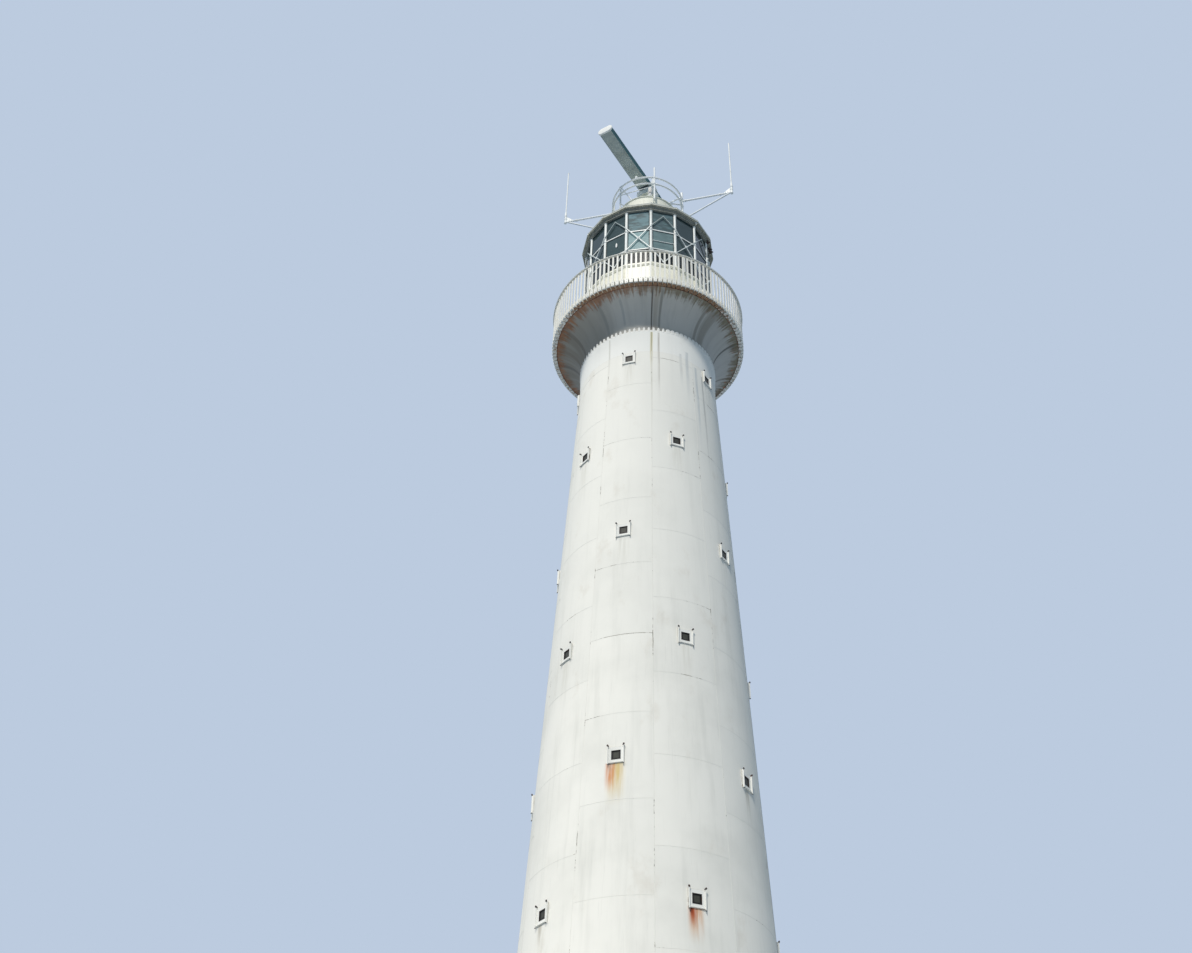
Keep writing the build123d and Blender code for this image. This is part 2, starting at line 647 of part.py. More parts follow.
def make_ring_rail():
    """Two ring rails round the drum on six uprights, four of them plain stanchions."""
    posts = []
    for number, bearing in enumerate(STANCHION_BEARINGS):
        top = TOP_RING_Z + (TALL_STANCHION_RISE if number == TALL_STANCHION else 0)
        post = upright(STANCHION_RADIUS, DRUM_TOP - STANCHION_DROP, top, RING_RADIUS, bearing)
        posts.append(post.fuse(*standoffs(bearing)))
    keep("ring_stanchions", *posts)
    tops = Torus(RING_RADIUS, RING_TUBE_RADIUS)
    rings = [Pos(0, 0, height) * tops for height in (TOP_RING_Z, LOW_RING_Z)]
    uprights = list(posts)
    for bearing in WHIP_BEARINGS.values():
        uprights.append(upright(UPRIGHT_RADIUS, UPRIGHT_BOTTOM, UPRIGHT_TOP, RING_RADIUS, bearing))
    arcs = []
    for whole in rings:
        cut = whole.cut(*uprights)
        arcs.extend(cut.solids())
    keep("ring_rails", *arcs)


def make_whips():
    """Two whip aerials, each on a three-cornered tube bracket."""
    strut_head = (0, -WHIP_CIRCLE + STRUT_SETBACK, ARM_Z)
    for name, bearing in WHIP_BEARINGS.items():
        bracket = upright(UPRIGHT_RADIUS, UPRIGHT_BOTTOM, UPRIGHT_TOP, RING_RADIUS)
        bracket += bar_between((0, -RING_RADIUS, ARM_Z), (0, -WHIP_CIRCLE, ARM_Z), ARM_RADIUS)
        bracket += bar_between((0, -RING_RADIUS, STRUT_FOOT_Z), strut_head, STRUT_RADIUS)
        for bar in standoffs(0):
            bracket += bar
        gusset = make_face(Plane.YZ * Polyline(
            (-WHIP_CIRCLE, ARM_Z), (-WHIP_CIRCLE + GUSSET_LENGTH, ARM_Z), (-WHIP_CIRCLE, ARM_Z + GUSSET_LENGTH),
            close=True,
        ))
        bracket += extrude(gusset, GUSSET_THICKNESS / 2, both=True)
        bracket += upright(SOCKET_RADIUS, ARM_Z - 2 * ARM_RADIUS, ARM_Z + SOCKET_HEIGHT, WHIP_CIRCLE)
        whip = upright(
            WHIP_RADIUS, ARM_Z + SOCKET_HEIGHT, ARM_Z + SOCKET_HEIGHT + WHIP_LENGTH, WHIP_CIRCLE
        )
        keep(f"aerial_bracket_{name}", turned(bearing, bracket))
        keep(f"whip_aerial_{name}", turned(bearing, whip))


def make_scanner():
    """Pedestal and gearbox on the drum, and the turning beam on its shaft."""
    cone = Cone(PEDESTAL_BASE_RADIUS, PEDESTAL_TOP_RADIUS, PEDESTAL_HEIGHT,
                align=(Align.CENTER, Align.CENTER, Align.MIN))
    keep("scanner_pedestal", Pos(0, 0, DRUM_TOP) * cone)
    box = Box(GEARBOX_LENGTH, GEARBOX_WIDTH, GEARBOX_HEIGHT, align=(Align.CENTER, Align.CENTER, Align.MIN))
    box = chamfer(box.edges().group_by(Axis.Z)[0], GEARBOX_CHAMFER)
    box = Pos(0, 0, GEARBOX_BOTTOM) * box
    box -= upright(SHAFT_RADIUS + SHAFT_CLEARANCE, GEARBOX_TOP - SHAFT_DEPTH - SHAFT_CLEARANCE, GEARBOX_TOP)
    keep("scanner_gearbox", turned(BEAM_BEARING, box))
    turntable = upright(TURNTABLE_RADIUS, TURNTABLE_BOTTOM, BEAM_BOTTOM)
    turntable += upright(SHAFT_RADIUS, GEARBOX_TOP - SHAFT_DEPTH, TURNTABLE_BOTTOM)
    keep("scanner_turntable", turntable)
    middle = BEAM_BOTTOM + BEAM_HEIGHT / 2
    span = BEAM_LENGTH - 2 * END_CAP_THICKNESS
    section = Plane.XZ * RectangleRounded(BEAM_WIDTH, BEAM_HEIGHT, BEAM_CORNER)
    beam = extrude(section, span / 2, both=True)
    cap_section = Plane.XZ.offset(span / 2) * RectangleRounded(
        BEAM_WIDTH + 2 * END_CAP_PROUD, BEAM_HEIGHT + 2 * END_CAP_PROUD, BEAM_CORNER + END_CAP_PROUD
    )
    cap = extrude(cap_section, END_CAP_THICKNESS)
    body = beam + cap + Rot(0, 0, 180) * cap
    keep("scanner_beam", turned(BEAM_BEARING, Pos(0, 0, middle) * body))


def make_lamps():
    """The warning lamp on the drum and the small lamp under the eave."""
    stem_top = DRUM_TOP + ROOF_LAMP_STEM_HEIGHT
    lamp = upright(ROOF_LAMP_STEM_RADIUS, DRUM_TOP, stem_top, ROOF_LAMP_CIRCLE, ROOF_LAMP_BEARING)
    bulb = upright(ROOF_LAMP_RADIUS, stem_top, stem_top + ROOF_LAMP_HEIGHT, ROOF_LAMP_CIRCLE, ROOF_LAMP_BEARING)
    bulb = fillet(bulb.edges().group_by(Axis.Z)[-1], ROOF_LAMP_ROUNDING)
    keep("drum_lamp", lamp + bulb)
    circle = (HEAD_OUTER_RADIUS + EAVE_CORNER_RADIUS - FASCIA_THICKNESS) / 2
    bearing = FRONT_SEAM + EAVE_LAMP_CORNER * SIDE_ANGLE
    keep("eave_lamp", upright(EAVE_LAMP_RADIUS, HEAD_TOP - EAVE_LAMP_HEIGHT, HEAD_TOP, circle, bearing))


def build():
    """Make every node and write it."""
    make_base_and_floors()
    make_shell()
    make_windows()
    make_entrance()
    make_flare()
    make_gallery()
    make_pedestal_wall()
    make_lantern()
    make_roof()
    make_ring_rail()
    make_whips()
    make_scanner()
    make_lamps()
    os.makedirs("parts", exist_ok=True)
    for name, shape in NODES.items():
        export_step(shape, f"parts/{name}.step")
    print(len(NODES), "nodes")


build()
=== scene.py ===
# %% [markdown]
# A round lighthouse of bolted iron plates, seen from close to its foot.
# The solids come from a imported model, one object for each node, all in metres and in one frame.
# This lesson dresses them: paint with its stains and rust, and the small pieces that the solids leave out.

# %% Load the frame
import random
from math import atan2, cos, degrees, pi, radians, sin

import bmesh
import bpy
from mathutils import Matrix, Vector


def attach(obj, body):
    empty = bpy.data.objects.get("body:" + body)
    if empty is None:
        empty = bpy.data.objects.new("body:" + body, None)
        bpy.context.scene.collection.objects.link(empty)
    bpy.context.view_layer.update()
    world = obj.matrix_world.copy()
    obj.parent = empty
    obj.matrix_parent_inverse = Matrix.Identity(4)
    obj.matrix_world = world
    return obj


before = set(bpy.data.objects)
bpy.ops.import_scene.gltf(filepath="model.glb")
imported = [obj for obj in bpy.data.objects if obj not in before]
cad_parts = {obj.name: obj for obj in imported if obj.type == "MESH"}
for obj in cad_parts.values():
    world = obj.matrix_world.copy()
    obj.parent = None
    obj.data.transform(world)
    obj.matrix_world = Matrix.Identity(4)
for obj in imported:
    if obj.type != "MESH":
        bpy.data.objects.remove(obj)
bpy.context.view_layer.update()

# %% [markdown]
# Nearly everything on a round tower is placed by three numbers: a bearing round the axis, a distance
# from it and a height. Bearing 0 is the front, and it grows to the right as seen from outside.
# Two small matrices then stand a piece against the wall or on a floor at such a spot.

# %% Places round the tower
BASE_RADIUS, TOP_RADIUS, TOWER_TOP = 1.790, 1.096, 15.240
TAPER = (BASE_RADIUS - TOP_RADIUS) / TOWER_TOP
PLATE, ROW = 1.2192, 1.8288
SEAMS = [3 + 36 * number for number in range(10)]
COLUMNS = [-15 + 36 * number for number in range(10)]
CORNERS = [3 + 22.5 * number for number in range(16)]
SIDES = [14.25 + 22.5 * number for number in range(16)]
HALF_SIDE = radians(11.25)
WINDOWS = [(number, ROW * row) for number in range(10) for row in range(2 - number % 2, 9, 2)]


def shell_radius(height):
    """Outer radius of the iron shell."""
    return BASE_RADIUS - TAPER * height


def polar(bearing, radius, height):
    """The point at a bearing, a distance from the axis and a height."""
    turn = radians(bearing)
    return Vector((radius * sin(turn), -radius * cos(turn), height))


def shift(x, y, z):
    """A move along the three axes."""
    return Matrix.Translation((x, y, z))


def spin(angle, axis):
    """A turn by an angle in degrees about an axis."""
    return Matrix.Rotation(radians(angle), 4, axis)


def facing(bearing, radius, height):
    """A place on a wall: X runs along the wall, Y up and Z outwards."""
    turn = radians(bearing)
    axes = Matrix(((cos(turn), 0, sin(turn)), (sin(turn), 0, -cos(turn)), (0, 1, 0)))
    return Matrix.Translation(polar(bearing, radius, height)) @ axes.to_4x4()


def standing(bearing, radius, height):
    """A place on a floor: X runs along the wall, Y towards the axis and Z up."""
    return Matrix.Translation(polar(bearing, radius, height)) @ spin(bearing, "Z")


print(len(WINDOWS), "windows, one in every second row of each column")

# %% [markdown]
# A tower has hundreds of bolts, studs and lugs. Making an object for each would be slow, so a Form gathers
# corners and faces and turns them into one mesh at the end. Every shape here is a stack of loops that
# are skinned together: a bolt is three hexagons, a block is four rectangles with cut corners.

# %% Forms
def cut_loop(half_width, half_depth, cut, level):
    """A level rectangle with cut corners."""
    w, d = half_width, half_depth
    return [
        (-w + cut, -d, level), (w - cut, -d, level), (w, -d + cut, level), (w, d - cut, level),
        (w - cut, d, level), (-w + cut, d, level), (-w, d - cut, level), (-w, -d + cut, level),
    ]


class Form:
    """Corners and faces, gathered until they become one mesh."""

    def __init__(self):
        self.corners, self.faces = [], []

    def add(self, corners, faces, place=None):
        """Add corners and faces, moved to a place."""
        first = len(self.corners)
        for corner in corners:
            self.corners.append(tuple(place @ Vector(corner) if place else corner))
        self.faces.extend(tuple(first + index for index in face) for face in faces)

    def stack(self, loops, place=None, closed=False):
        """Skin a row of loops of equal length, closed to a ring or with its two ends filled."""
        count, rows = len(loops[0]), len(loops)
        faces = []
        for row in range(rows if closed else rows - 1):
            low, high = row * count, (row + 1) % rows * count
            for side in range(count):
                after = (side + 1) % count
                faces.append((low + side, low + after, high + after, high + side))
        if not closed:
            faces.append(tuple(reversed(range(count))))
            faces.append(tuple((rows - 1) * count + side for side in range(count)))
        self.add([corner for loop in loops for corner in loop], faces, place)

    def spun(self, profile, place=None, sides=16):
        """Turn (radius, height) points about the place's Z."""
        turns = [2 * pi * side / sides for side in range(sides)]
        self.stack([[(r * cos(t), r * sin(t), h) for t in turns] for r, h in profile], place)

    def block(self, size, place, cut=0.002):
        """A block centred on its place, with all its edges cut."""
        width, depth, height = size
        levels = ((cut, -height / 2), (0, cut - height / 2), (0, height / 2 - cut), (cut, height / 2))
        self.stack([cut_loop(width / 2 - inset, depth / 2 - inset, cut, level)
                    for inset, level in levels], place)

    def bars(self, place, out, deep, cut, bars):
        """Blocks of one depth on a wall, each given as (across, upward, width, height)."""
        for across, upward, width, height in bars:
            self.block((width, height, deep), place @ shift(across, upward, out), cut)

    def bolt(self, place, radius, height):
        """A hexagon bolt head on its washer."""
        wide = radius * 1.5
        self.spun([(wide, 0), (wide, height * 0.2), (radius * 1.4, height * 0.25)], place, 12)
        self.spun([(radius, height * 0.2), (radius, height * 0.8), (radius * 0.78, height)], place, 6)

    def rod(self, start, end, radius, sides=12):
        """A round rod between two points with its rims cut."""
        start, end = Vector(start), Vector(end)
        along = end - start
        place = Matrix.Translation(start) @ along.to_track_quat("Z", "Y").to_matrix().to_4x4()
        cut = min(radius * 0.3, along.length * 0.2)
        far = along.length
        self.spun([(radius - cut, 0), (radius, cut), (radius, far - cut), (radius - cut, far)], place, sides)

    def pin(self, place, start, end, radius, sides=12):
        """A rod between two points of a place."""
        self.rod(place @ Vector(start), place @ Vector(end), radius, sides)

    def hoop(self, section, bearings, closed=True):
        """Carry a closed section of (radius, height) points round the axis."""
        self.stack([[polar(bearing, r, z) for r, z in section] for bearing in bearings], closed=closed)


def show(name, data):
    """Put an object into the scene."""
    shown = bpy.data.objects.new(name, data)
    bpy.context.scene.collection.objects.link(shown)
    return shown


def piece(name, form, finish, body="tower"):
    """Turn a form into a shown object that rides on a body."""
    mesh = bpy.data.meshes.new(name)
    mesh.from_pydata(form.corners, [], form.faces)
    gathered = bmesh.new()
    gathered.from_mesh(mesh)
    bmesh.ops.recalc_face_normals(gathered, faces=gathered.faces)
    gathered.to_mesh(mesh)
    gathered.free()
    mesh.shade_smooth()
    mesh.set_sharp_from_angle(angle=radians(34))
    mesh.materials.append(finish)
    shown = show(name, mesh)
    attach(shown, body)
    print(name, len(mesh.polygons), "faces")


def dress(finish, *nodes):
    """Give CAD nodes their finish."""
    for node in nodes:
        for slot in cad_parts[node].material_slots:
            slot.material = finish
    print(finish.name, "on", *nodes)


TURN = [1.5 * step for step in range(240)]
RIVET = [(0.007, 0), (0.006, 0.003), (0.003, 0.005)]
random.seed(7)
print("forms ready")

# %% [markdown]
# A finish is a tree of nodes. Written out by hand it is hard to read, so sockets are wrapped in a small
# class and sums of them are written as sums. Math nodes work on single numbers. Colours are mixed with
# Mix nodes, because a Math node would turn them grey, and directions are scaled with Vector Math.

# %% Finishes written as sums
def both_ways(operation):
    """An operator that adds a Math node, and its reflected form."""
    return (lambda self, other: self.sum(operation, self, other),
            lambda self, other: self.sum(operation, other, self))


class Wire:
    """An output socket that can be used in a sum."""

    def __init__(self, tree, socket):
        self.tree, self.socket = tree, socket

    def sum(self, operation, first, second):
        """Add one Math node."""
        return self.tree.node("ShaderNodeMath", {"operation": operation}, {0: first, 1: second})

    __add__, __radd__ = both_ways("ADD")
    __sub__, __rsub__ = both_ways("SUBTRACT")
    __mul__, __rmul__ = both_ways("MULTIPLY")
    __truediv__, __rtruediv__ = both_ways("DIVIDE")
    __mod__, __rmod__ = both_ways("FLOORED_MODULO")

    def __abs__(self):
        return self.sum("ABSOLUTE", self, 0.0)

    def other(self, name):
        """Another output of the same node."""
        return Wire(self.tree, self.socket.node.outputs[name])


class Tree:
    """The nodes of one material or of the world."""

    def __init__(self, tree):
        self.nodes, self.links = tree.nodes, tree.links

    def node(self, kind, settings=None, inputs=None, output=0):
        """Add one node: its settings first, then the values or links of its sockets."""
        added = self.nodes.new(kind)
        for name, value in (settings or {}).items():
            setattr(added, name, value)
        self.fill(added, inputs or {})
        return Wire(self, added.outputs[output])

    def fill(self, added, inputs):
        """Set or link the input sockets of a node."""
        for name, value in inputs.items():
            if isinstance(value, Wire):
                self.links.new(value.socket, added.inputs[name])
            elif value is not None:
                added.inputs[name].default_value = value

    def step(self, value, low, high):
        """A soft step, 0 at low and 1 at high; low may be the larger."""
        limits = {0: value, 1: low, 2: high}
        return self.node("ShaderNodeMapRange", {"interpolation_type": "SMOOTHSTEP"}, limits)

    def mix(self, mask, first, second):
        """Mix two colours."""
        return self.node("ShaderNodeMix", {"data_type": "RGBA"}, {0: mask, 6: first, 7: second}, 2)

    def bump(self, height, distance=1.0, strength=1.0):
        """Turn a height in metres into a normal."""
        sockets = {"Height": height, "Distance": distance, "Strength": strength}
        return self.node("ShaderNodeBump", None, sockets)


def rgb(red, green, blue):
    """A colour as a screen shows it, 0 to 255, made linear."""
    shares = [value / 255 for value in (red, green, blue)]
    return tuple(s / 12.92 if s < 0.04045 else ((s + 0.055) / 1.055) ** 2.4 for s in shares) + (1.0,)


class Finish(Tree):
    """A material with its tree, its main shader and the spot of each point on the object, in metres."""

    def __init__(self, name):
        self.material = bpy.data.materials.new(name)
        self.material.use_nodes = True
        super().__init__(self.material.node_tree)
        self.spot = self.node("ShaderNodeTexCoord", output="Object")

    def parts(self):
        """The spot's three numbers."""
        split = self.node("ShaderNodeSeparateXYZ", inputs={0: self.spot})
        return split, split.other(1), split.other(2)

    def bearing(self, x, y):
        """Bearing in degrees, 0 at the front."""
        return self.node("ShaderNodeMath", {"operation": "ARCTAN2"}, {0: x, 1: 0 - y}) * degrees(1)

    def noise(self, scale, detail=4.0, rough=0.55, vector=None):
        """Soft noise from 0 to 1. Three scales in place of one stretch it along the axes."""
        vector = vector or self.spot
        if isinstance(scale, tuple):
            vector = self.node("ShaderNodeVectorMath", {"operation": "MULTIPLY"}, {0: vector, 1: scale})
            scale = 1.0
        return self.node("ShaderNodeTexNoise", None, {
            "Vector": vector, "Scale": scale, "Detail": detail, "Roughness": rough,
        })

    def cells(self, scale):
        """Distance to the nearest point of a scatter."""
        return self.node("ShaderNodeTexVoronoi", None, {"Vector": self.spot, "Scale": scale}, "Distance")

    def done(self, paint, roughness, normal=None, alpha=None, specular=None):
        """Fill the main shader and give the material."""
        self.fill(self.nodes["Principled BSDF"], {
            "Base Color": paint, "Roughness": roughness, "Normal": normal, "Alpha": alpha,
            "Specular IOR Level": specular,
        })
        return self.material


print("white paint is", [round(value, 2) for value in rgb(236, 235, 230)])

# %% [markdown]
# The camera stands a little below the foot of the tower and looks steeply up. Its place, its tilt and its
# lens were worked out from the photograph's windows and rings, so they are written as numbers. The camera
# comes before the pieces.

# %% Camera
PITCH, YAW, ROLL = radians(41.93819), radians(-2.92181), radians(1.98279)
ahead = Vector((sin(YAW) * cos(PITCH), cos(YAW) * cos(PITCH), sin(PITCH)))
level = Vector((cos(YAW), -sin(YAW), 0))
above = level.cross(ahead)
right = level * cos(ROLL) + above * sin(ROLL)
up = above * cos(ROLL) - level * sin(ROLL)
camera = show("camera", bpy.data.cameras.new("camera"))
SENSOR = 36.0
FOCAL_PIXELS, PHOTO_WIDTH = 1357.473, 1192
camera.data.sensor_width = SENSOR
camera.data.lens = FOCAL_PIXELS / PHOTO_WIDTH * SENSOR
camera.data.clip_end = 200.0
axes = Matrix((right, up, -ahead)).transposed().to_4x4()
camera.matrix_world = shift(0, -15.833706, -1.140713) @ axes
bpy.context.scene.camera = camera
print("lens", round(camera.data.lens, 2), "mm")

# %% [markdown]
# A soft key light stands high before the tower, a little to its left. A second one, wider and weaker, comes
# from far on the left, so that the left flank stays bright and the right one falls away. The world shows a
# pale blue backdrop to the camera and to reflections, while its light on the object stays weaker.

# %% Light, world and floor
for name, energy, angle, bearing, rise in (("key", 2.54, 8, -14, 46), ("side", 1.15, 26, -85, 52)):
    lamp = show(name, bpy.data.lights.new(name, "SUN"))
    lamp.data.energy, lamp.data.angle, lamp.data.color = energy, radians(angle), (1.0, 0.955, 0.88)
    lamp.rotation_mode = "QUATERNION"
    towards = polar(bearing, cos(radians(rise)), sin(radians(rise)))
    lamp.rotation_quaternion = towards.to_track_quat("Z", "Y")
    lamp.visible_glossy = name == "key"

world = bpy.data.worlds.new("world")
world.use_nodes = True
sky = Tree(world.node_tree)
rays = sky.node("ShaderNodeLightPath", output="Is Camera Ray")
seen = rays.sum("MAXIMUM", rays, rays.other("Is Glossy Ray"))
seen = seen.sum("MAXIMUM", seen, rays.other("Is Transmission Ray"))
soft = sky.node("ShaderNodeBackground", None, {"Color": (0.62, 0.81, 1.0, 1), "Strength": 0.33})
pale = sky.node("ShaderNodeBackground", None, {"Color": rgb(188, 203, 223), "Strength": 1.0})
both = sky.node("ShaderNodeMixShader", None, {0: seen, 1: soft, 2: pale})
sky.fill(world.node_tree.nodes["World Output"], {"Surface": both})
bpy.context.scene.world = world
bpy.context.scene.view_settings.view_transform = "Standard"

ground = Finish("studio_floor")
ground.done(ground.mix(ground.noise(3.0), rgb(222, 222, 220), rgb(228, 228, 226)), 0.9)
slab = Form()
slab.spun([(7.4, -0.05), (7.5, -0.04), (7.5, -0.012), (7.4, -0.002)], sides=96)
floor = show("floor", bpy.data.meshes.new("floor"))
floor.data.from_pydata(slab.corners, [], slab.faces)
floor.data.materials.append(ground.material)
print("lights and floor set")

# %% [markdown]
# The shell is painted white, many coats thick. From below one sees large faint clouds, thin grey streaks
# that run down, plates of slightly different tone, and stains under the windows. All of this is worked out
# from the point's own place on the tower, so it stays put from every side.

# %% Shell paint
WHITE = rgb(248, 246, 239)
SHELL_GREY = rgb(201, 201, 194)


def from_column(bearing):
    """Degrees from the middle of the nearest column of windows."""
    return (bearing + 393) % 36 - 18


def run_down(tree, across, below, half, length):
    """A mask for a stain that runs down from a spot: soft at its sides and fading out below."""
    return (tree.step(across, half, half * 0.25) * tree.step(below, -0.012, 0.01)
            * tree.step(below, length, length * 0.2))


def shell_finish(name, clean, stains_and_shaded_runs):
    """White tower paint, with the stains that the photograph shows or without; a few runs carry painted
    shade.
    """
    tree = Finish(name)
    x, y, z = tree.parts()
    bearing = tree.bearing(x, y)
    scale = shell_radius(z) * radians(1)
    streaks = tree.noise((7, 7, 0.45), 6.0)
    thin = tree.noise((34, 34, 1.1), 3.0)
    clouds = tree.noise(0.9, 5.0)
    grain = tree.noise(46.0, 3.0)
    dirt = tree.step(streaks, 0.48, 0.80) * 0.30 + tree.step(clouds, 0.42, 0.72) * 0.26
    dirt = dirt + tree.step(thin, 0.58, 0.76) * 0.12
    dirt = dirt * (1 - tree.step(z, 6.0, 14.5) * 0.6)
    paint = tree.mix(dirt, clean, SHELL_GREY)
    smudges = tree.noise((2.4, 2.4, 1.5), 6.0, 0.62)
    paint = tree.mix(tree.step(smudges, 0.58, 0.74) * 0.20, paint, rgb(198, 184, 164))
    turned = (bearing + 357) / 36
    column = turned - turned % 1.0
    upward = z / PLATE + (column % 2) * 0.5
    cell = tree.node("ShaderNodeCombineXYZ", None, {0: column % 10, 1: upward - upward % 1.0})
    tone = tree.node("ShaderNodeTexWhiteNoise", {"noise_dimensions": "2D"}, {"Vector": cell}, "Value")
    paint = tree.mix(tone * 0.08, paint, rgb(196, 200, 198))
    ragged = tree.step(tree.noise((26, 26, 1.6), 5.0), 0.3, 0.62)
    if stains_and_shaded_runs:
        local = from_column(bearing)
        number = (bearing + 375 - local) / 36
        below = (ROW * (number % 2) - z) % (2 * ROW)
        under = (tree.step(abs(local * scale), 0.12, 0.03) * tree.step(below, 0.07, 0.1)
                 * tree.step(below, 0.9, 0.12) * ragged)
        paint = tree.mix(under * 0.20, paint, rgb(176, 170, 150))
        for at, offset, top, half, length, tint, force in RUNS:
            mask = run_down(tree, abs((bearing - at) * scale - offset), top - z, half, length)
            paint = tree.mix(mask * (0.35 + 0.65 * ragged) * force, paint, tint)
    height = grain * 0.0006 + clouds * 0.004 + streaks * 0.0015
    return tree.done(paint, 0.82 + dirt * 0.12, tree.bump(height, strength=0.8), specular=0.22)


OCHRE, RUST, DARK_RUST = rgb(222, 192, 116), rgb(214, 118, 54), rgb(98, 42, 26)
RUNS = [
    (3, 0.002, 15.22, 0.030, 1.0, rgb(206, 194, 140), 0.85),
    (3, 0.004, 15.22, 0.014, 2.6, rgb(176, 172, 150), 0.8),
    (9, 0.0, 15.22, 0.026, 1.9, rgb(200, 196, 190), 0.8),
    (9, 0.006, 15.22, 0.010, 1.5, rgb(178, 172, 162), 0.6),
    # These four runs on the right under the flare are grey streaks tinted blue-grey with painted shade of
    # that flank.
    (28, 0.0, 14.85, 0.035, 0.9, rgb(200, 203, 203), 0.6),
    (34, 0.0, 14.95, 0.045, 1.3, rgb(192, 199, 203), 0.6),
    (43, 0.0, 14.70, 0.040, 2.2, rgb(176, 188, 196), 0.6),
    (50, 0.0, 14.60, 0.030, 2.4, rgb(150, 152, 150), 0.5),
    (-33, 0.0, 15.22, 0.020, 1.6, rgb(205, 203, 194), 0.6),
    (-15, 0.0, 7.215, 0.15, 0.62, OCHRE, 0.8),
    (-15, -0.070, 7.215, 0.085, 0.44, RUST, 0.95),
    (-15, -0.082, 7.205, 0.026, 0.14, DARK_RUST, 0.7),
    (21, -0.020, 5.385, 0.12, 0.46, rgb(218, 160, 108), 0.8),
    (21, -0.050, 5.385, 0.066, 0.28, rgb(176, 78, 42), 0.95),
    (21, -0.070, 5.405, 0.026, 0.14, DARK_RUST, 0.9),
    (-51, -0.03, 5.405, 0.05, 0.30, rgb(150, 140, 120), 0.5),
    (57, -0.01, 7.235, 0.05, 0.40, rgb(150, 145, 130), 0.5),
]
shell_paint = shell_finish("shell_paint", WHITE, True)
casing_paint = shell_finish("casing_paint", rgb(248, 247, 242), False)
# The cove gets a lighter copy of the shell paint: painted light that fills the shade under the flange.
cove_paint_lit = shell_finish("cove_paint_lit", rgb(254, 253, 248), True)
TIERS = [f"wall_tier_{tier}_{letter}" for tier in range(1, 5) for letter in "ab"]
dress(shell_paint, *TIERS)
dress(casing_paint, "window_casings", "entrance_frame", "flare_collar")
print(len(RUNS), "stains")

# %% [markdown]
# The plates are bolted inside through flanges, and outside one sees only the joints: hairlines packed with
# putty, dark where the putty has gone and pale where it stands proud. They are modelled as thin raised beads
# that follow the taper, a little uneven as handwork is, and their paint breaks up into dark stretches.

# %% Joints between the plates
def bead_finish(name, pale, dark, threshold):
    """A painted putty bead with dark cracks along it."""
    tree = Finish(name)
    long_breaks = tree.noise(1.7, 3.0)
    short_breaks = tree.noise(17.0, 5.0, 0.7)
    cracked = tree.step(long_breaks * 0.62 + short_breaks * 0.38, threshold, threshold + 0.06)
    return tree.done(tree.mix(cracked, pale, dark), 0.85 + cracked * 0.1, tree.bump(short_breaks, 0.002),
                     specular=0.2)


def upright_bead(form, bearing, low, high, half, proud):
    """A bead up the shell, wavering by a millimetre or two."""
    loops = []
    steps = max(2, int((high - low) / 0.09))
    for step in range(steps + 1):
        z = low + (high - low) * step / steps
        radius = shell_radius(z)
        waver = random.uniform(-0.0022, 0.0022)
        swell = proud * random.uniform(0.7, 1.2)
        arc = degrees(half * random.uniform(0.75, 1.2) / radius)
        middle = bearing + degrees(waver / radius)
        loops.append([
            polar(middle - arc, radius - 0.002, z), polar(middle + arc, radius - 0.002, z),
            polar(middle + arc * 0.5, radius + swell, z), polar(middle - arc * 0.5, radius + swell, z),
        ])
    form.stack(loops)


def level_bead(form, first, last, height, half, proud):
    """A bead along the shell between two bearings."""
    loops = []
    steps = max(2, int((last - first) / 1.5))
    for step in range(steps + 1):
        bearing = first + (last - first) * step / steps
        z = height + random.uniform(-0.002, 0.002)
        wide = half * random.uniform(0.75, 1.2)
        radius = shell_radius(z)
        swell = proud * random.uniform(0.7, 1.2)
        loops.append([
            polar(bearing, radius - 0.002, z - wide), polar(bearing, radius + swell, z - wide * 0.5),
            polar(bearing, radius + swell, z + wide * 0.5), polar(bearing, radius - 0.002, z + wide),
        ])
    form.stack(loops)


BEAD_PROUD, COVE_HEIGHT, DOOR_COLUMN, DOOR_TOP = 0.0012, 0.46, 6, 1.2
upright_beads, level_beads = Form(), Form()
for seam in SEAMS:
    upright_bead(upright_beads, seam, 0.06, TOWER_TOP - COVE_HEIGHT, 0.0058, BEAD_PROUD)
for number, middle in enumerate(COLUMNS):
    height = TOWER_TOP - PLATE / (1 + number % 2)
    while height > 0.3:
        broken = number == DOOR_COLUMN and height < DOOR_TOP
        for first, last in ((-17.8, -10.8), (10.8, 17.8)) if broken else ((-17.8, 17.8),):
            level_bead(level_beads, middle + first, middle + last, height, 0.005, BEAD_PROUD)
        height -= PLATE
upright_putty = bead_finish("upright_putty", rgb(236, 234, 227), rgb(134, 129, 118), 0.55)
level_putty = bead_finish("level_putty", rgb(236, 234, 227), rgb(148, 141, 128), 0.56)
piece("upright_joints", upright_beads, upright_putty)
piece("level_joints", level_beads, level_putty)

# %% [markdown]
# Each window is a white casing with two upright cheeks. Dark iron studs stand out of the cheeks' tops, with
# smaller ones at their feet, and thin broken dark lines run where the casing is bedded on the shell: partly
# rust, partly painted shadow in the gap. The pane sits in a small sash. One set of shapes is made for every
# window and turned to its bearing.

# %% Windows
def iron_finish(name, base, rusty, share):
    """Bare or rusting iron, speckled."""
    tree = Finish(name)
    patches = tree.noise(21.0, 6.0, 0.65)
    specks = tree.noise(150.0, 2.0)
    mask = tree.step(patches, 1 - share, 1.15 - share)
    iron = tree.mix(mask, tree.mix(specks * 0.6, base, rgb(40, 36, 33)), rusty)
    return tree.done(iron, 0.55 + mask * 0.35, tree.bump(patches + specks * 0.4, 0.002))


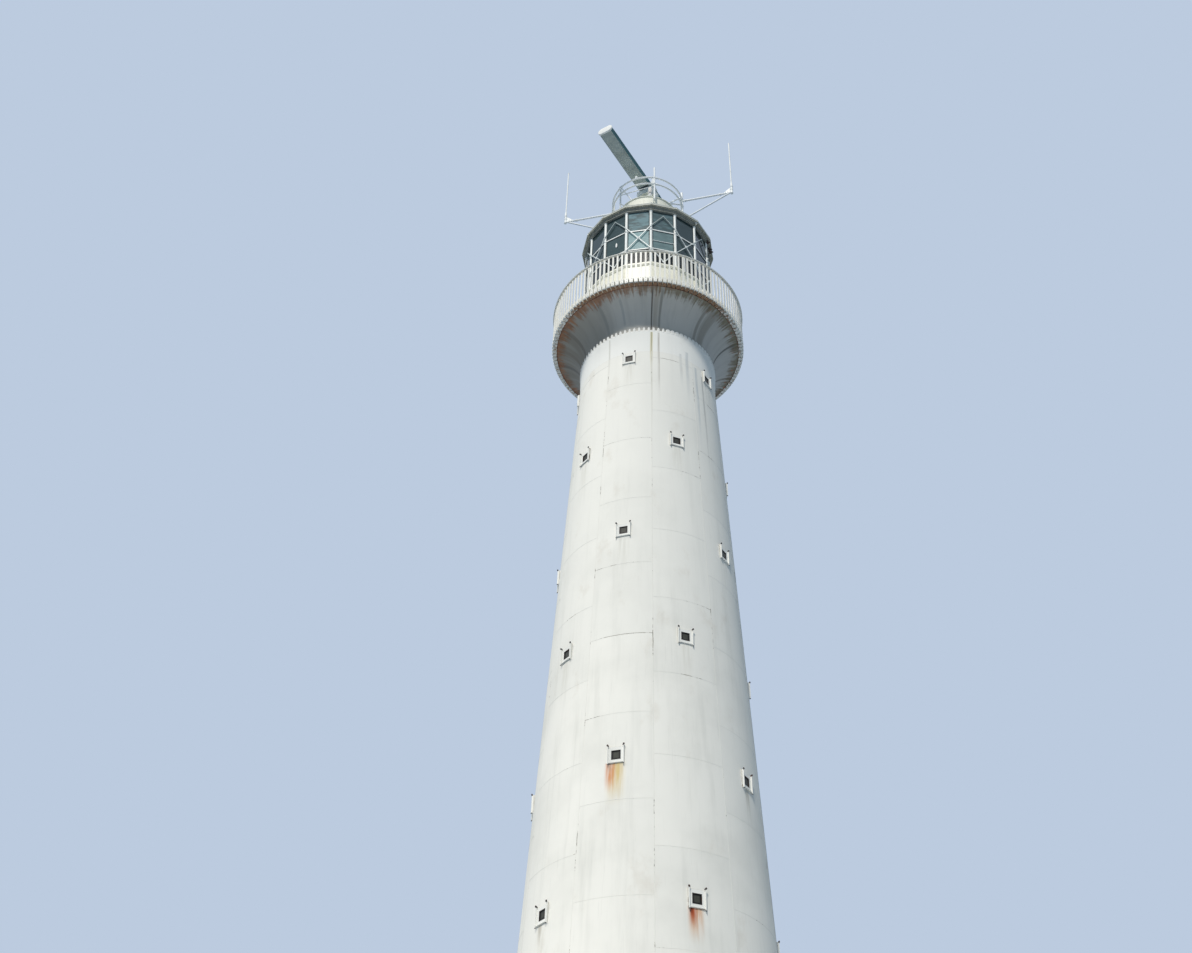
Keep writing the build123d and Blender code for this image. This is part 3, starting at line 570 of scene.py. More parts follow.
stud_iron = iron_finish("stud_iron", rgb(48, 43, 40), rgb(92, 56, 40), 0.5)
studs, bedding, sashes = Form(), Form(), Form()
for number, z in WINDOWS:
    bearing, wall = COLUMNS[number], shell_radius(z)
    for hand in (-1, 1):
        top = facing(bearing, wall + 0.026, z + 0.126)
        studs.pin(top, (hand * 0.090, -0.010, -0.010), (hand * 0.108, 0.012, 0.008), 0.009)
        studs.pin(top, (hand * 0.102, 0.002, -0.004), (hand * 0.102, 0.002, 0.011), 0.012, 8)
        foot = facing(bearing, wall + 0.022, z - 0.126)
        studs.pin(foot, (hand * 0.099, 0.005, -0.006), (hand * 0.103, -0.008, 0.008), 0.0055)
    middle = facing(bearing, wall + 0.004, z)
    bedding.bars(middle, -0.002, 0.012, 0.001, [
        (-0.1060, 0, 0.004, 0.250), (0.1060, 0, 0.004, 0.250), (0, -0.1105, 0.192, 0.005)])
    bedding.bars(middle, -0.002, 0.010, 0.001, [(0, 0.1100, 0.192, 0.004)])
    sashes.bars(middle, 0, 0.010, 0.0015, [
        (0, 0.060, 0.1194, 0.008), (0, -0.060, 0.1194, 0.008),
        (0.0557, 0, 0.008, 0.112), (-0.0557, 0, 0.008, 0.112)])
# The dark cracks in this bead are partly rust and partly painted shadow in the gap round the casing.
bedding_rust_and_gap_shade = bead_finish("bedding_rust_and_gap_shade", rgb(212, 210, 202), rgb(124, 110, 98), 0.55)
piece("window_studs", studs, stud_iron)
piece("window_bedding_and_gap_shade", bedding, bedding_rust_and_gap_shade)
piece("window_sashes", sashes, stud_iron)

# %% [markdown]
# Behind the sash the pane is nearly black, painted shade of the unlit room inside, with a paler middle
# painted as light from inside where it meets the dirt.
# The middle of each pane is found from the bearing and the height, folded back onto one window.

# %% Window panes
tree = Finish("window_pane")
x, y, z = tree.parts()
local = from_column(tree.bearing(x, y)) * (shell_radius(z) * radians(1))
upward = (z + ROW / 2) % ROW - ROW / 2
middle = tree.step(abs(local), 0.050, 0.022) * tree.step(abs(upward), 0.054, 0.026)
dust = tree.noise(33.0, 4.0)
# Painted shade of the dark room, with painted light from inside in the middle.
pane_shade_and_glow = tree.mix(middle * (0.3 + dust * 0.5), rgb(22, 23, 22), rgb(92, 92, 84))
dress(tree.done(pane_shade_and_glow, 0.3 + dust * 0.25, specular=0.2), "window_panes")

# %% [markdown]
# The shell ends in a smooth cove under the flange that carries the flare. A row of small white lugs with
# round tops stands on the flange's edge, nine to a panel, and looks like teeth against the shaded flare.
# Each is a short upright block whose top is rounded by a few narrowing loops.

# %% Teeth on the collar
def lug(form, place, width, depth, height):
    """An upright lug with a round top, its back to the wall."""
    loops = []
    for share, upward in ((1, 0), (1, 0.72), (0.94, 0.82), (0.78, 0.91), (0.5, 0.975), (0.18, 1.0)):
        w, d = width / 2 * share, depth / 2
        loops.append(cut_loop(w, d, min(w * 0.4, d * 0.4), height * upward))
    form.stack(loops, place)


teeth, neck_ring, cove = Form(), Form(), Form()
for number in range(90):
    bearing = 5 + 4 * number
    wide = 0.072 if 16 < bearing < 68 else 0.038
    lug(teeth, standing(bearing, 1.116, 15.238), wide, 0.034, 0.092)
neck_ring.hoop([(1.094, 15.262), (1.107, 15.262), (1.110, 15.270), (1.106, 15.280), (1.094, 15.284)], TURN)
cove.hoop([(1.108, 14.778), (1.1172, 14.780), (1.1178, 14.900), (1.1200, 15.040), (1.1245, 15.160),
           (1.131, 15.242), (1.131, 15.252), (1.092, 15.252)], TURN)
piece("collar_teeth", teeth, casing_paint)
piece("collar_mouldings", neck_ring, casing_paint)
piece("collar_cove", cove, cove_paint_lit)

# %% [markdown]
# The flare is the same paint in the gallery's shade, so it collects grime. Streaks on it run along the curve
# from the rim down to the collar. Noise that is read from the direction alone, with little height in it,
# gives such rays. The rim's band is rust, redder on the left and more olive on the right. Painted shade
# darkens its neck, its right flank, one wide band there and the strip behind the railing's feet.

# %% Flare paint
def flare_finish():
    """Grey-white paint with radial grime, painted shade and a rusty edge."""
    tree = Finish("flare_paint")
    x, y, z = tree.parts()
    bearing = tree.bearing(x, y)
    flat = tree.node("ShaderNodeCombineXYZ", None, {0: x, 1: y})
    outward = tree.node("ShaderNodeVectorMath", {"operation": "NORMALIZE"}, {0: flat})
    lift = tree.node("ShaderNodeCombineXYZ", None, {2: z * 1.4})

    def ray_noise(scale):
        """Noise that changes round the tower, and only slowly with height."""
        sockets = {0: outward, 1: (scale, scale, scale), 2: lift}
        along = tree.node("ShaderNodeVectorMath", {"operation": "MULTIPLY_ADD"}, sockets)
        return tree.noise(1.0, 4.0, vector=along)

    rays, thin_rays = ray_noise(9), ray_noise(44)
    clouds = tree.noise(3.2, 5.0)
    paint = tree.mix(tree.step(rays, 0.42, 0.70) * 0.35, rgb(206, 202, 194), rgb(168, 165, 157))
    brown = tree.step(bearing, -52, -76) * tree.step(bearing, -150, -118)
    for mask, tint in (
        (tree.step(thin_rays, 0.60, 0.76) * 0.20, rgb(146, 145, 138)),
        (tree.step(clouds, 0.52, 0.72) * 0.20, rgb(186, 184, 172)),
        (brown * (0.35 + tree.step(rays, 0.4, 0.6) * 0.4), rgb(140, 130, 114)),
        (tree.step(bearing, -16, -50) * 0.62, rgb(136, 127, 112)),
        # Blue-grey on the right flank: painted shade.
        (tree.step(bearing, 20, 55) * 0.30, rgb(138, 144, 146)),
        # Darker towards the collar: painted shade where the flare meets the neck.
        (tree.step(z, 15.44, 15.29) * 0.40, rgb(112, 114, 112)),
    ):
        paint = tree.mix(mask, paint, tint)
    for at, half, low, high, tint, force in FLARE_MARKS:
        side = tree.step(abs(bearing - at) + (thin_rays - 0.5) * half, half, half * 0.3)
        reach = tree.step(z, low, low + 0.08) * tree.step(z, high, high - 0.06)
        paint = tree.mix(side * reach * force, paint, tint)
    blotches = tree.noise(11.0, 5.0, 0.65)
    edge = z + (thin_rays - 0.5) * 0.22 + (blotches - 0.5) * 0.10 + (rays - 0.5) * 0.04
    rusty = tree.step(edge, 15.808, 15.872)
    left = tree.step(bearing, 30, -40)
    tint = tree.mix(left, rgb(118, 110, 82), rgb(170, 112, 72))
    tint = tree.mix(tree.step(blotches, 0.42, 0.6) * 0.55, tint, rgb(112, 80, 56))
    paint = tree.mix(rusty * 0.8, paint, tint)
    spots = tree.step(tree.noise(19.0, 2.0), 0.66, 0.72) * tree.step(z, 15.80, 15.85)
    paint = tree.mix(spots * 0.8, paint, rgb(196, 104, 76))
    # The rim's band above the flare is painted dark grey: painted shade in the gaps between the railing's
    # feet.
    paint = tree.mix(tree.step(z, 15.884, 15.900), paint, rgb(118, 114, 108))
    height = clouds * 0.004 + rays * 0.003 + thin_rays * rusty * 0.006
    return tree.done(paint, 0.55 + rusty * 0.3, tree.bump(height))


FLARE_MARKS = [
    (3.2, 0.8, 15.27, 15.90, rgb(84, 74, 64), 0.85),
    (6.3, 3.0, 15.30, 15.90, rgb(168, 156, 138), 0.5),
    (9.7, 1.2, 15.29, 15.90, rgb(116, 112, 102), 0.6),
    (-19.2, 1.4, 15.42, 15.85, rgb(158, 160, 158), 0.5),
    (-34.8, 1.8, 15.30, 15.86, rgb(136, 136, 130), 0.5),
    (42.8, 2.0, 15.30, 15.90, rgb(112, 107, 96), 0.6),
    # This wide soft band is painted shade where the flare's shading changes, not a stain.
    (49.5, 5.5, 15.34, 15.90, rgb(122, 117, 105), 0.6),
    (79.8, 1.5, 15.30, 15.90, rgb(76, 76, 70), 0.85),
    (81.5, 3.5, 15.78, 15.90, rgb(80, 78, 68), 0.7),
    (-67.5, 2.2, 15.28, 15.90, rgb(118, 110, 98), 0.6),
    (-98.0, 2.4, 15.28, 15.90, rgb(102, 96, 88), 0.7),
    (-84.0, 3.0, 15.45, 15.90, rgb(120, 108, 92), 0.5),
] + [(seam, 1.4, 15.27, 15.90, rgb(110, 106, 98), 0.6) for seam in (111, 147, -177, -141)]
flare_paint = flare_finish()
dress(flare_paint, "flare_panels_a", "flare_panels_b")
print(len(FLARE_MARKS), "marks on the flare")

# %% [markdown]
# The flare's ten panels meet in ribs that follow its curve. The curve is an arc that leaves the neck
# straight up and meets the rim, so its centre lies level with the neck, and the same arc places the ribs.

# %% Flare ribs
NECK, RIM, OVERHANG = 15.304, 15.872, 0.452


def flare_curve(share):
    """A point of the flare's underside as (radius, height), from the neck at 0 to the rim at 1."""
    rise = RIM - NECK
    arc = (OVERHANG * OVERHANG + rise * rise) / (2 * OVERHANG)
    turn = 2 * atan2(OVERHANG, rise) * share
    return TOP_RADIUS + arc * (1 - cos(turn)), NECK + arc * sin(turn)


ribs = Form()
for seam in SEAMS:
    loops = []
    for step in range(25):
        radius, z = flare_curve(step / 24)
        ahead_r, ahead_z = flare_curve(min(1, step / 24 + 0.01))
        back_r, back_z = flare_curve(max(0, step / 24 - 0.01))
        slope = Vector((ahead_r - back_r, ahead_z - back_z)).normalized()
        out = Vector((slope.y, -slope.x)) * 0.002
        inner = out * -0.8
        wide = degrees(0.005 / radius)
        loops.append([polar(seam + side, radius + off.x, z + off.y) for side, off in (
            (-wide, inner), (wide, inner), (wide * 0.6, out), (-wide * 0.6, out))])
    ribs.stack(loops)
piece("flare_ribs", ribs, flare_paint)

# %% [markdown]
# Along the rim's lower edge the paint has long gone and the iron has scaled. That edge is a ring whose
# section swells and shrinks at random, in thin flakes, and its finish is pure rust.

# %% Rusty edge of the rim
def rust_finish(name, warm, dark):
    """Scaled rust, in two tones."""
    tree = Finish(name)
    flakes = tree.cells(42.0)
    patches = tree.noise(13.0, 6.0, 0.7)
    shade = tree.mix(tree.step(patches, 0.35, 0.65), warm, dark)
    shade = tree.mix(tree.step(flakes, 0.5, 0.9) * 0.5, shade, rgb(58, 34, 24))
    return tree.done(shade, 0.92, tree.bump(patches - flakes * 0.6, 0.008))


rim_rust = rust_finish("rim_rust", rgb(132, 82, 56), rgb(84, 52, 38))
scale_ring = Form()
loops = []
for step in range(720):
    swell = random.uniform(0.4, 1.3)
    sag = random.uniform(0, 0.004)
    loops.append([
        polar(step / 2, 1.5455 + 0.005 * swell * cos(turn), 15.873 - sag + 0.005 * swell * sin(turn))
        for turn in [pi / 4 * side for side in range(8)]
    ])
scale_ring.stack(loops, closed=True)
piece("rim_scale", scale_ring, rim_rust)

# %% [markdown]
# Gallery ironwork is painted cream white. The paint is thick and chips off at the lower edges of the
# railing's feet, where rust shows and has run. The same finish with less rust serves the pedestal wall and
# the lantern.

# %% Gallery paint
def gallery_finish(name, clean, chipped, dimmed_from=30.0):
    """Cream-white paint that chips to rust at the feet, darker and bluer above a given height."""
    tree = Finish(name)
    _, y, z = tree.parts()
    streaks = tree.noise((30, 30, 2.4), 5.0)
    chips = tree.noise(24.0, 6.0, 0.7)
    clouds = tree.noise(2.6, 4.0)
    paint = tree.mix(tree.step(streaks, 0.45, 0.8) * 0.4 + tree.step(clouds, 0.5, 0.8) * 0.2, clean,
                     rgb(188, 182, 164))
    paint = tree.mix(tree.step(z, dimmed_from, dimmed_from + 0.3) * 0.7, paint, rgb(104, 122, 122))
    low = tree.step(z, 15.900, 15.878) * (0.22 + tree.step(y, -0.6, -1.5) * 0.22)
    rusty = tree.step(chips + low, 1.0 - chipped, 1.08 - chipped)
    paint = tree.mix(rusty, paint, tree.mix(streaks, rgb(182, 142, 110), rgb(126, 96, 74)))
    height = clouds * 0.002 + chips * 0.0006 - rusty * 0.0008
    return tree.done(paint, 0.45 + rusty * 0.4, tree.bump(height))


rail_paint = gallery_finish("rail_paint", rgb(246, 244, 236), 0.26)
wall_paint = gallery_finish("wall_paint", rgb(254, 251, 233), 0.20)
lantern_paint = gallery_finish("lantern_paint", rgb(248, 250, 247), 0.16)
dress(rail_paint, "railing_panels_a", "railing_panels_b")
dress(wall_paint, "pedestal_wall_a", "pedestal_wall_b", "gallery_door")
lattice_paint = gallery_finish("lattice_paint", rgb(236, 242, 240), 0.16, 17.85)
dress(lantern_paint, "lantern_posts", "lantern_transoms")
dress(lattice_paint, "lantern_lattice")

# %% [markdown]
# Each baluster is bolted through its foot to the rim and riveted to the top rail. The deck's edge has a
# half-round nosing and the top rail a rounded cap. These are small, so they are kept in two meshes.

# %% Railing bolts and deck edge
BALUSTERS, PANELS, RAILING, RAILING_FACE = 130, 26, 1.622, 1.6275
rail_bolts, nosing = Form(), Form()
for number in range(BALUSTERS):
    bearing = 3 + 360 / BALUSTERS * (number + 0.5)
    for z in (15.925, 15.985):
        rail_bolts.bolt(facing(bearing, RAILING_FACE, z), 0.006, 0.006)
    rail_bolts.spun([(0.006, 0), (0.0055, 0.003), (0.003, 0.005)], facing(bearing, RAILING_FACE, 16.636), 8)
for number in range(PANELS):
    bearing = 3 + 360 / PANELS * number
    rail_bolts.block((0.062, 0.040, 0.006), standing(bearing, RAILING, 16.648), 0.0015)
    for hand in (-1, 1):
        rail_bolts.bolt(standing(bearing + hand * 0.7, RAILING, 16.6615), 0.006, 0.006)
nosing.hoop([(1.545, 16.040), (1.553, 16.042), (1.559, 16.050), (1.561, 16.060), (1.559, 16.070),
             (1.553, 16.078), (1.545, 16.080)], TURN)
nosing.hoop([(1.598, 16.661), (1.602, 16.6665), (1.612, 16.670), (1.632, 16.670), (1.642, 16.6665),
             (1.646, 16.661)], TURN)
piece("railing_bolts", rail_bolts, rail_paint)
piece("deck_nosing", nosing, rail_paint)

# %% [markdown]
# The low wall under the glass has sixteen flat panels. Strips cover the corners, riveted on both sides, a
# skirting runs round its foot, and small louvred vents let air into the lantern on every second side. The
# one door has strap hinges, a lever and a raised panel.

# %% Pedestal wall
def louvre(form, place, width, height, slats):
    """A framed vent with slanted slats."""
    form.bars(place, 0.006, 0.014, 0.002, [
        (0, height / 2, width, 0.014), (0, -height / 2, width, 0.014),
        (width / 2, 0, 0.014, height), (-width / 2, 0, 0.014, height)])
    for slat in range(slats):
        upward = height * ((slat + 0.5) / slats - 0.5)
        tilt = shift(0, upward, 0.005) @ spin(38, "X")
        form.block((width - 0.01, height / slats * 0.9, 0.003), place @ tilt, 0.0008)


WALL_CORNER, GALLERY_DOOR = 1.126, 7
WALL_FLAT = WALL_CORNER * cos(HALF_SIDE)
strips, rivets = Form(), Form()
for corner in CORNERS:
    for hand in (-1, 1):
        side = corner + hand * 11.25
        along = -hand * (WALL_CORNER * sin(HALF_SIDE) - 0.026)
        strips.block((0.050, 0.860, 0.006), facing(side, WALL_FLAT + 0.002, 16.512)
                     @ shift(along, 0, 0), 0.0015)
        for level_number in range(9):
            spot_on = facing(side, WALL_FLAT + 0.005, 16.135 + 0.094 * level_number)
            rivets.spun(RIVET, spot_on @ shift(along, 0, 0), 8)
strips.hoop([(1.122, 16.078), (1.140, 16.080), (1.140, 16.100), (1.133, 16.110), (1.122, 16.110)], CORNERS)
strips.hoop([(1.122, 16.905), (1.134, 16.910), (1.146, 16.930), (1.149, 16.946), (1.122, 16.946)], CORNERS)
for number, side in enumerate(SIDES):
    if number % 2 == 1 and number != GALLERY_DOOR:
        louvre(strips, facing(side, WALL_FLAT, 16.27), 0.20, 0.11, 5)
door = facing(SIDES[GALLERY_DOOR], 1.0945, 16.51)
strips.bars(door, 0.006, 0.010, 0.002, [
    (0, 0.33, 0.27, 0.02), (0, -0.33, 0.27, 0.02), (0.13, 0, 0.02, 0.66), (-0.13, 0, 0.02, 0.66),
    (0, 0.06, 0.26, 0.02)])
for upward in (0.24, -0.24):
    strips.block((0.16, 0.030, 0.008), door @ shift(-0.09, upward, 0.012), 0.002)
    strips.pin(door @ shift(-0.166, upward, 0.020), (0, -0.035, 0), (0, 0.035, 0), 0.010)
strips.spun([(0.026, 0), (0.026, 0.006), (0.010, 0.010), (0.010, 0.040), (0.006, 0.044)],
            door @ shift(0.115, -0.02, 0.008), 16)
strips.pin(door, (0.115, -0.02, 0.044), (0.035, -0.02, 0.046), 0.008)
piece("pedestal_strips", strips, wall_paint)
piece("pedestal_rivets", rivets, wall_paint)

# %% [markdown]
# Lantern glass from outside and below is dark grey-green, because the room behind it is dark. A few bays let
# the sky through from the far side and are paler. Real glass lets light through at full render cost, so the
# panes use a dark glossy coat with some alpha, which shows the far rods faintly.

# %% Lantern glass
def glass_finish(name, base, bright, bays, cloudy):
    """Tinted panes, paler in some bays, each given as its bearing and its share."""
    tree = Finish(name)
    x, y, _ = tree.parts()
    bearing = tree.bearing(x, y)
    dust = tree.noise(6.0, 5.0)
    smears = tree.noise((5, 5, 14), 4.0)
    shade = tree.mix(dust * 0.25, base, rgb(64, 80, 78))
    for at, share in bays:
        inside = tree.step(abs(bearing - at), 11.4, 11.1)
        marks = tree.step(smears, 0.38, 0.62) * cloudy
        pane = tree.mix(marks, bright, rgb(92, 104, 104))
        shade = tree.mix(inside * share, shade, pane)
    tree.material.surface_render_method = "BLENDED"
    return tree.done(shade, 0.05 + dust * 0.03, alpha=0.94 + dust * 0.05, specular=0.3)


glass_upper = glass_finish("glass_upper", rgb(38, 56, 58), rgb(128, 158, 164),
                           [(-8.25, 0.9), (14.25, 0.55), (36.75, 0.05), (-30.75, 0.12)], 0.8)
glass_middle = glass_finish("glass_middle", rgb(38, 56, 58), rgb(160, 190, 192),
                            [(-8.25, 0.9), (14.25, 0.5), (36.75, 0.08), (-30.75, 0.10)], 0.3)
glass_lower = glass_finish("glass_lower", rgb(20, 20, 17), rgb(56, 58, 52), [(-8.25, 0.15)], 0.4)
dress(glass_upper, "lantern_panes_upper")
dress(glass_middle, "lantern_panes_middle")
dress(glass_lower, "lantern_panes_lower")

# %% [markdown]
# The panes are bedded in putty, the posts have turned feet, caps and clamps, and the diagonal rods meet in
# round plates. One bay has an extra thin bar across its middle row, and the pane left of the paler ones
# carries a small white oval plate.

# %% Lantern fittings
POSTS, POST_RADIUS, SILL, HEAD = 1.108, 0.025, 16.980, 18.420
BAY = POSTS * sin(HALF_SIDE) - POST_RADIUS
PANE_FLAT = POSTS * cos(HALF_SIDE)
ROWS = ((SILL, 17.369), (17.391, 17.879), (17.901, HEAD))
putty, fittings = Form(), Form()
for side in SIDES:
    for low, high in ROWS:
        pane = facing(side, PANE_FLAT + 0.0065, (low + high) / 2)
        tall = high - low
        for across in (BAY - 0.006, 0.006 - BAY):
            putty.block((0.012, tall, 0.007), pane @ shift(across, 0, 0), 0.0025)
        for upward in (tall / 2 - 0.006, 0.006 - tall / 2):
            putty.block((2 * BAY - 0.012, 0.012, 0.007), pane @ shift(0, upward, 0), 0.0025)
for corner in CORNERS:
    foot = standing(corner, POSTS, SILL)
    fittings.spun([(0.040, 0), (0.040, 0.012), (0.034, 0.018), (0.030, 0.034), (0.026, 0.036)], foot, 20)
    head = standing(corner, POSTS, 18.388)
    fittings.spun([(0.026, 0), (0.029, 0.004), (0.030, 0.020), (0.033, 0.024), (0.033, 0.032)], head, 20)
    for z in (17.364, 17.874):
        clamp = standing(corner, POSTS, z)
        fittings.spun([(0.026, 0), (0.031, 0.004), (0.031, 0.028), (0.026, 0.032)], clamp, 20)
        fittings.bolt(facing(corner, 1.139, z + 0.016), 0.007, 0.007)
    for z in (17.350, 17.980):
        fittings.block((0.030, 0.052, 0.012), facing(corner, 1.138, z), 0.002)
        fittings.bolt(facing(corner, 1.144, z), 0.007, 0.008)
for number, side in enumerate(SIDES):
    z = 17.665 if number % 2 else 17.035
    fittings.spun([(0.026, 0), (0.026, 0.005), (0.022, 0.007)], facing(side, 1.124, z), 24)
    fittings.bolt(facing(side, 1.130, z), 0.008, 0.009)
fittings.pin(facing(14.25, PANE_FLAT + 0.012, 17.600), (-BAY, 0, 0), (BAY, 0, 0), 0.008)
narrow = Matrix.Diagonal((0.3, 1, 1, 1))
oval = facing(-30.75, PANE_FLAT + 0.010, 17.655) @ shift(0.022, 0, 0) @ narrow
fittings.spun([(0.058, 0), (0.058, 0.004), (0.050, 0.006)], oval, 24)
# The putty takes the dark grey-green of the panes: painted shade of the unlit room behind the glass.
putty_in_glass_shade = bead_finish("putty_in_glass_shade", rgb(66, 80, 82), rgb(46, 56, 58), 0.5)
piece("glazing_putty", putty, putty_in_glass_shade)
piece("lantern_fittings", fittings, lantern_paint)

# %% [markdown]
# Above the glass come the head ring and the eave. Their underside is stepped and weathered olive grey, with
# thin dark joints, and the fascia is a little paler. The roof above is grey sheet with ribs on its hips.

# %% Eave and roof finish
def roof_finish(name, base, grime, share, white_from=30.0):
    """Weathered paint on sheet iron, dirtier in its joints and white above a height."""
    tree = Finish(name)
    x, y, z = tree.parts()
    runs = tree.noise((14, 14, 2.0), 5.0)
    clouds = tree.noise(3.6, 5.0)
    grain = tree.noise(60.0, 3.0)
    local = abs((tree.bearing(x, y) + 368.25) % 22.5 - 11.25)
    joint = tree.step(local, 10.75, 11.05)
    mask = tree.step(runs, 0.45, 0.75) * share + tree.step(clouds, 0.45, 0.75) * share * 0.6
    paint = tree.mix(mask + joint * 0.35, base, grime)
    paint = tree.mix(tree.step(z, white_from, white_from + 0.004), paint, rgb(238, 238, 228))
    return tree.done(paint, 0.55 + mask * 0.3, tree.bump(grain * 0.0008 + clouds * 0.003))


eave_paint = roof_finish("eave_paint", rgb(214, 210, 192), rgb(160, 156, 134), 0.6, 18.516)
trim_paint = roof_finish("trim_paint", rgb(238, 238, 228), rgb(196, 194, 176), 0.35)
soffit_paint = roof_finish("soffit_paint", rgb(158, 158, 148), rgb(112, 110, 94), 0.6)
roof_paint = roof_finish("roof_paint", rgb(196, 200, 198), rgb(140, 142, 134), 0.5)
drum_paint = roof_finish("drum_paint", rgb(238, 238, 224), rgb(214, 210, 188), 0.3)
dress(eave_paint, "eave")
dress(soffit_paint, "lantern_head")
dress(roof_paint, "roof_panels_a", "roof_panels_b")
dress(drum_paint, "roof_drum")

# %% Eave mouldings and roof ribs
DRUM, DRUM_TOP = 0.552, 19.605
bands, trim, hips = Form(), Form(), Form()
bands.hoop([(1.138, 18.424), (1.150, 18.424), (1.154, 18.432), (1.150, 18.444), (1.138, 18.448)], CORNERS)
bands.hoop([(1.138, 18.466), (1.150, 18.470), (1.156, 18.482), (1.162, 18.5045), (1.138, 18.5045)], CORNERS)
bands.hoop([(1.193, 18.496), (1.199, 18.496), (1.201, 18.502), (1.199, 18.508), (1.193, 18.509)], CORNERS)
trim.hoop([(1.193, 18.531), (1.201, 18.533), (1.204, 18.540), (1.201, 18.546), (1.188, 18.5475)], CORNERS)
for corner in CORNERS:
    hips.rod(polar(corner, 1.192, 18.551), polar(corner, 0.569, 19.150), 0.013, 10)
    trim.rod(polar(corner, 1.199, 18.512), polar(corner, 1.199, 18.544), 0.006, 8)
for side in SIDES:
    for step in range(6):
        share = (step + 0.5) / 6
        radius = 1.173 * (1 - share) + DRUM * share
        hips.bolt(standing(side, radius, 18.547 + 0.6 * share), 0.008, 0.012)
hips.hoop([(0.552, 19.140), (0.584, 19.136), (0.588, 19.146), (0.578, 19.158), (0.551, 19.162)], TURN)
piece("eave_bands", bands, soffit_paint)
piece("eave_trim", trim, trim_paint)
piece("roof_hips", hips, roof_paint)

# %% [markdown]
# The drum stands on the roof with the ring rails round it. Its cream paint is the cleanest on the roof. It
# has one riveted band near its foot, hooded ventilators at its sides and back, and a bolted lid with a
# rolled edge.

# %% Drum
drum_bands, vents = Form(), Form()
drum_bands.hoop([(0.550, 19.205), (0.558, 19.207), (0.558, 19.243), (0.550, 19.245)], TURN)
drum_bands.hoop([(0.562, 19.589), (0.569, 19.591), (0.571, 19.597), (0.569, 19.603),
                    (0.562, 19.6055)], TURN)
for number in range(48):
    drum_bands.spun(RIVET, facing(7.5 * number, 0.5575, 19.225), 8)
for number in range(24):
    drum_bands.bolt(standing(15 * number + 4, 0.536, DRUM_TOP), 0.008, 0.009)
for bearing in (101, 212, 262):
    hole = facing(bearing, 0.550, 19.380)
    vents.spun([(0.062, 0), (0.062, 0.014), (0.054, 0.018), (0.050, 0.010), (0.010, 0.010)], hole, 24)
    for hand in (-0.5, 0, 0.5):
        vents.block((0.100, 0.006, 0.010), hole @ shift(0, hand * 0.05, 0.014), 0.001)
    hood = [[hole @ Vector((0.072 * cos(turn) * wide, 0.072 * sin(turn) * wide, out))
             for turn in [pi * step / 12 for step in range(13)]]
            for wide, out in ((1.0, 0.0), (1.06, 0.05), (1.0, 0.05), (0.94, 0.0))]
    vents.stack(hood, closed=True)
piece("drum_bands", drum_bands, drum_paint)
piece("drum_vents", vents, drum_paint)

# %% [markdown]
# Tubes, clamps and brackets on the roof are galvanised or painted white, and from below they show white
# against the sky. The finish keeps a dull zinc speckle and some grey runs.

# %% Tube finish
def tube_finish(name, base, dull):
    """White or zinc tube with a faint speckle."""
    tree = Finish(name)
    spangle = tree.cells(90.0)
    runs = tree.noise((20, 20, 3.0), 4.0)
    mask = tree.step(runs, 0.42, 0.75) * 0.5 + spangle * 0.18
    return tree.done(tree.mix(mask, base, dull), 0.38 + runs * 0.2, tree.bump(spangle, 0.0008))


white_tube = tube_finish("white_tube", rgb(249, 251, 251), rgb(224, 229, 231))
aerial_paint = tube_finish("aerial_paint", rgb(249, 250, 249), rgb(228, 230, 228))
dress(white_tube, "ring_stanchions", "ring_rails", "aerial_bracket_right", "aerial_bracket_left")
dress(aerial_paint, "whip_aerial_right", "whip_aerial_left")

# %% Clamps, brace and fittings on the ring rails
def sleeve(form, place, radius, long):
    """A clamp round a tube along the place's Z."""
    form.spun([(radius, -long / 2), (radius + 0.006, 0.004 - long / 2), (radius + 0.006, long / 2 - 0.004),
               (radius, long / 2)], place, 16)


rail_parts = Form()
RING = 0.664
for bearing in (11, -50, -169, 130, 78, -102):
    tube_radius = 0.0245 if bearing in (78, -102) else 0.0175
    for z in (19.850, 20.045):
        sleeve(rail_parts, standing(bearing, RING, z), tube_radius, 0.050)
        for hand in (-1, 1):
            quarter = standing(bearing + hand * 3.6, RING, z) @ spin(90, "Y")
            sleeve(rail_parts, quarter, 0.0165, 0.030)
        rail_parts.bolt(facing(bearing, RING + tube_radius + 0.005, z), 0.008, 0.010)
rail_parts.rod(polar(-47, RING, 19.990), polar(-32, 0.556, 19.600), 0.011)
rail_parts.rod(polar(10, RING, 19.800), polar(-49, RING, 19.800), 0.009)
rail_parts.rod(polar(77, RING, 20.120), polar(45, 0.556, 19.602), 0.016)
rail_parts.rod(polar(77, RING, 19.880), polar(45, 0.556, 19.602), 0.016)
rail_parts.spun([(0.014, 0), (0.018, 0.004), (0.018, 0.010), (0.010, 0.016)], standing(11, RING, 20.344), 16)
rail_parts.block((0.062, 0.050, 0.070), standing(9.5, RING, 19.862), 0.006)
plate = [(-0.070, 19.880), (-0.012, 19.880), (-0.012, 20.035), (-0.026, 20.035)]
place = standing(11, RING, 0.0)
rail_parts.stack([[place @ Vector((across, depth, z)) for across, z in plate] for depth in (-0.006, 0.006)])
rail_parts.rod(polar(11, RING, 19.800), polar(17, 0.60, 19.735), 0.010)
rail_parts.spun([(0.014, 0), (0.022, 0.004), (0.024, 0.014), (0.024, 0.044), (0.018, 0.054), (0.006, 0.058)],
                standing(-18.7, RING, 20.056), 18)
piece("ring_fittings", rail_parts, white_tube)

# %% [markdown]
# Each whip aerial stands in a socket at the end of a three-cornered bracket. Stepped ferrules hold the whip,
# clamps hold the bracket, and the corner plate has its bolts on both faces.

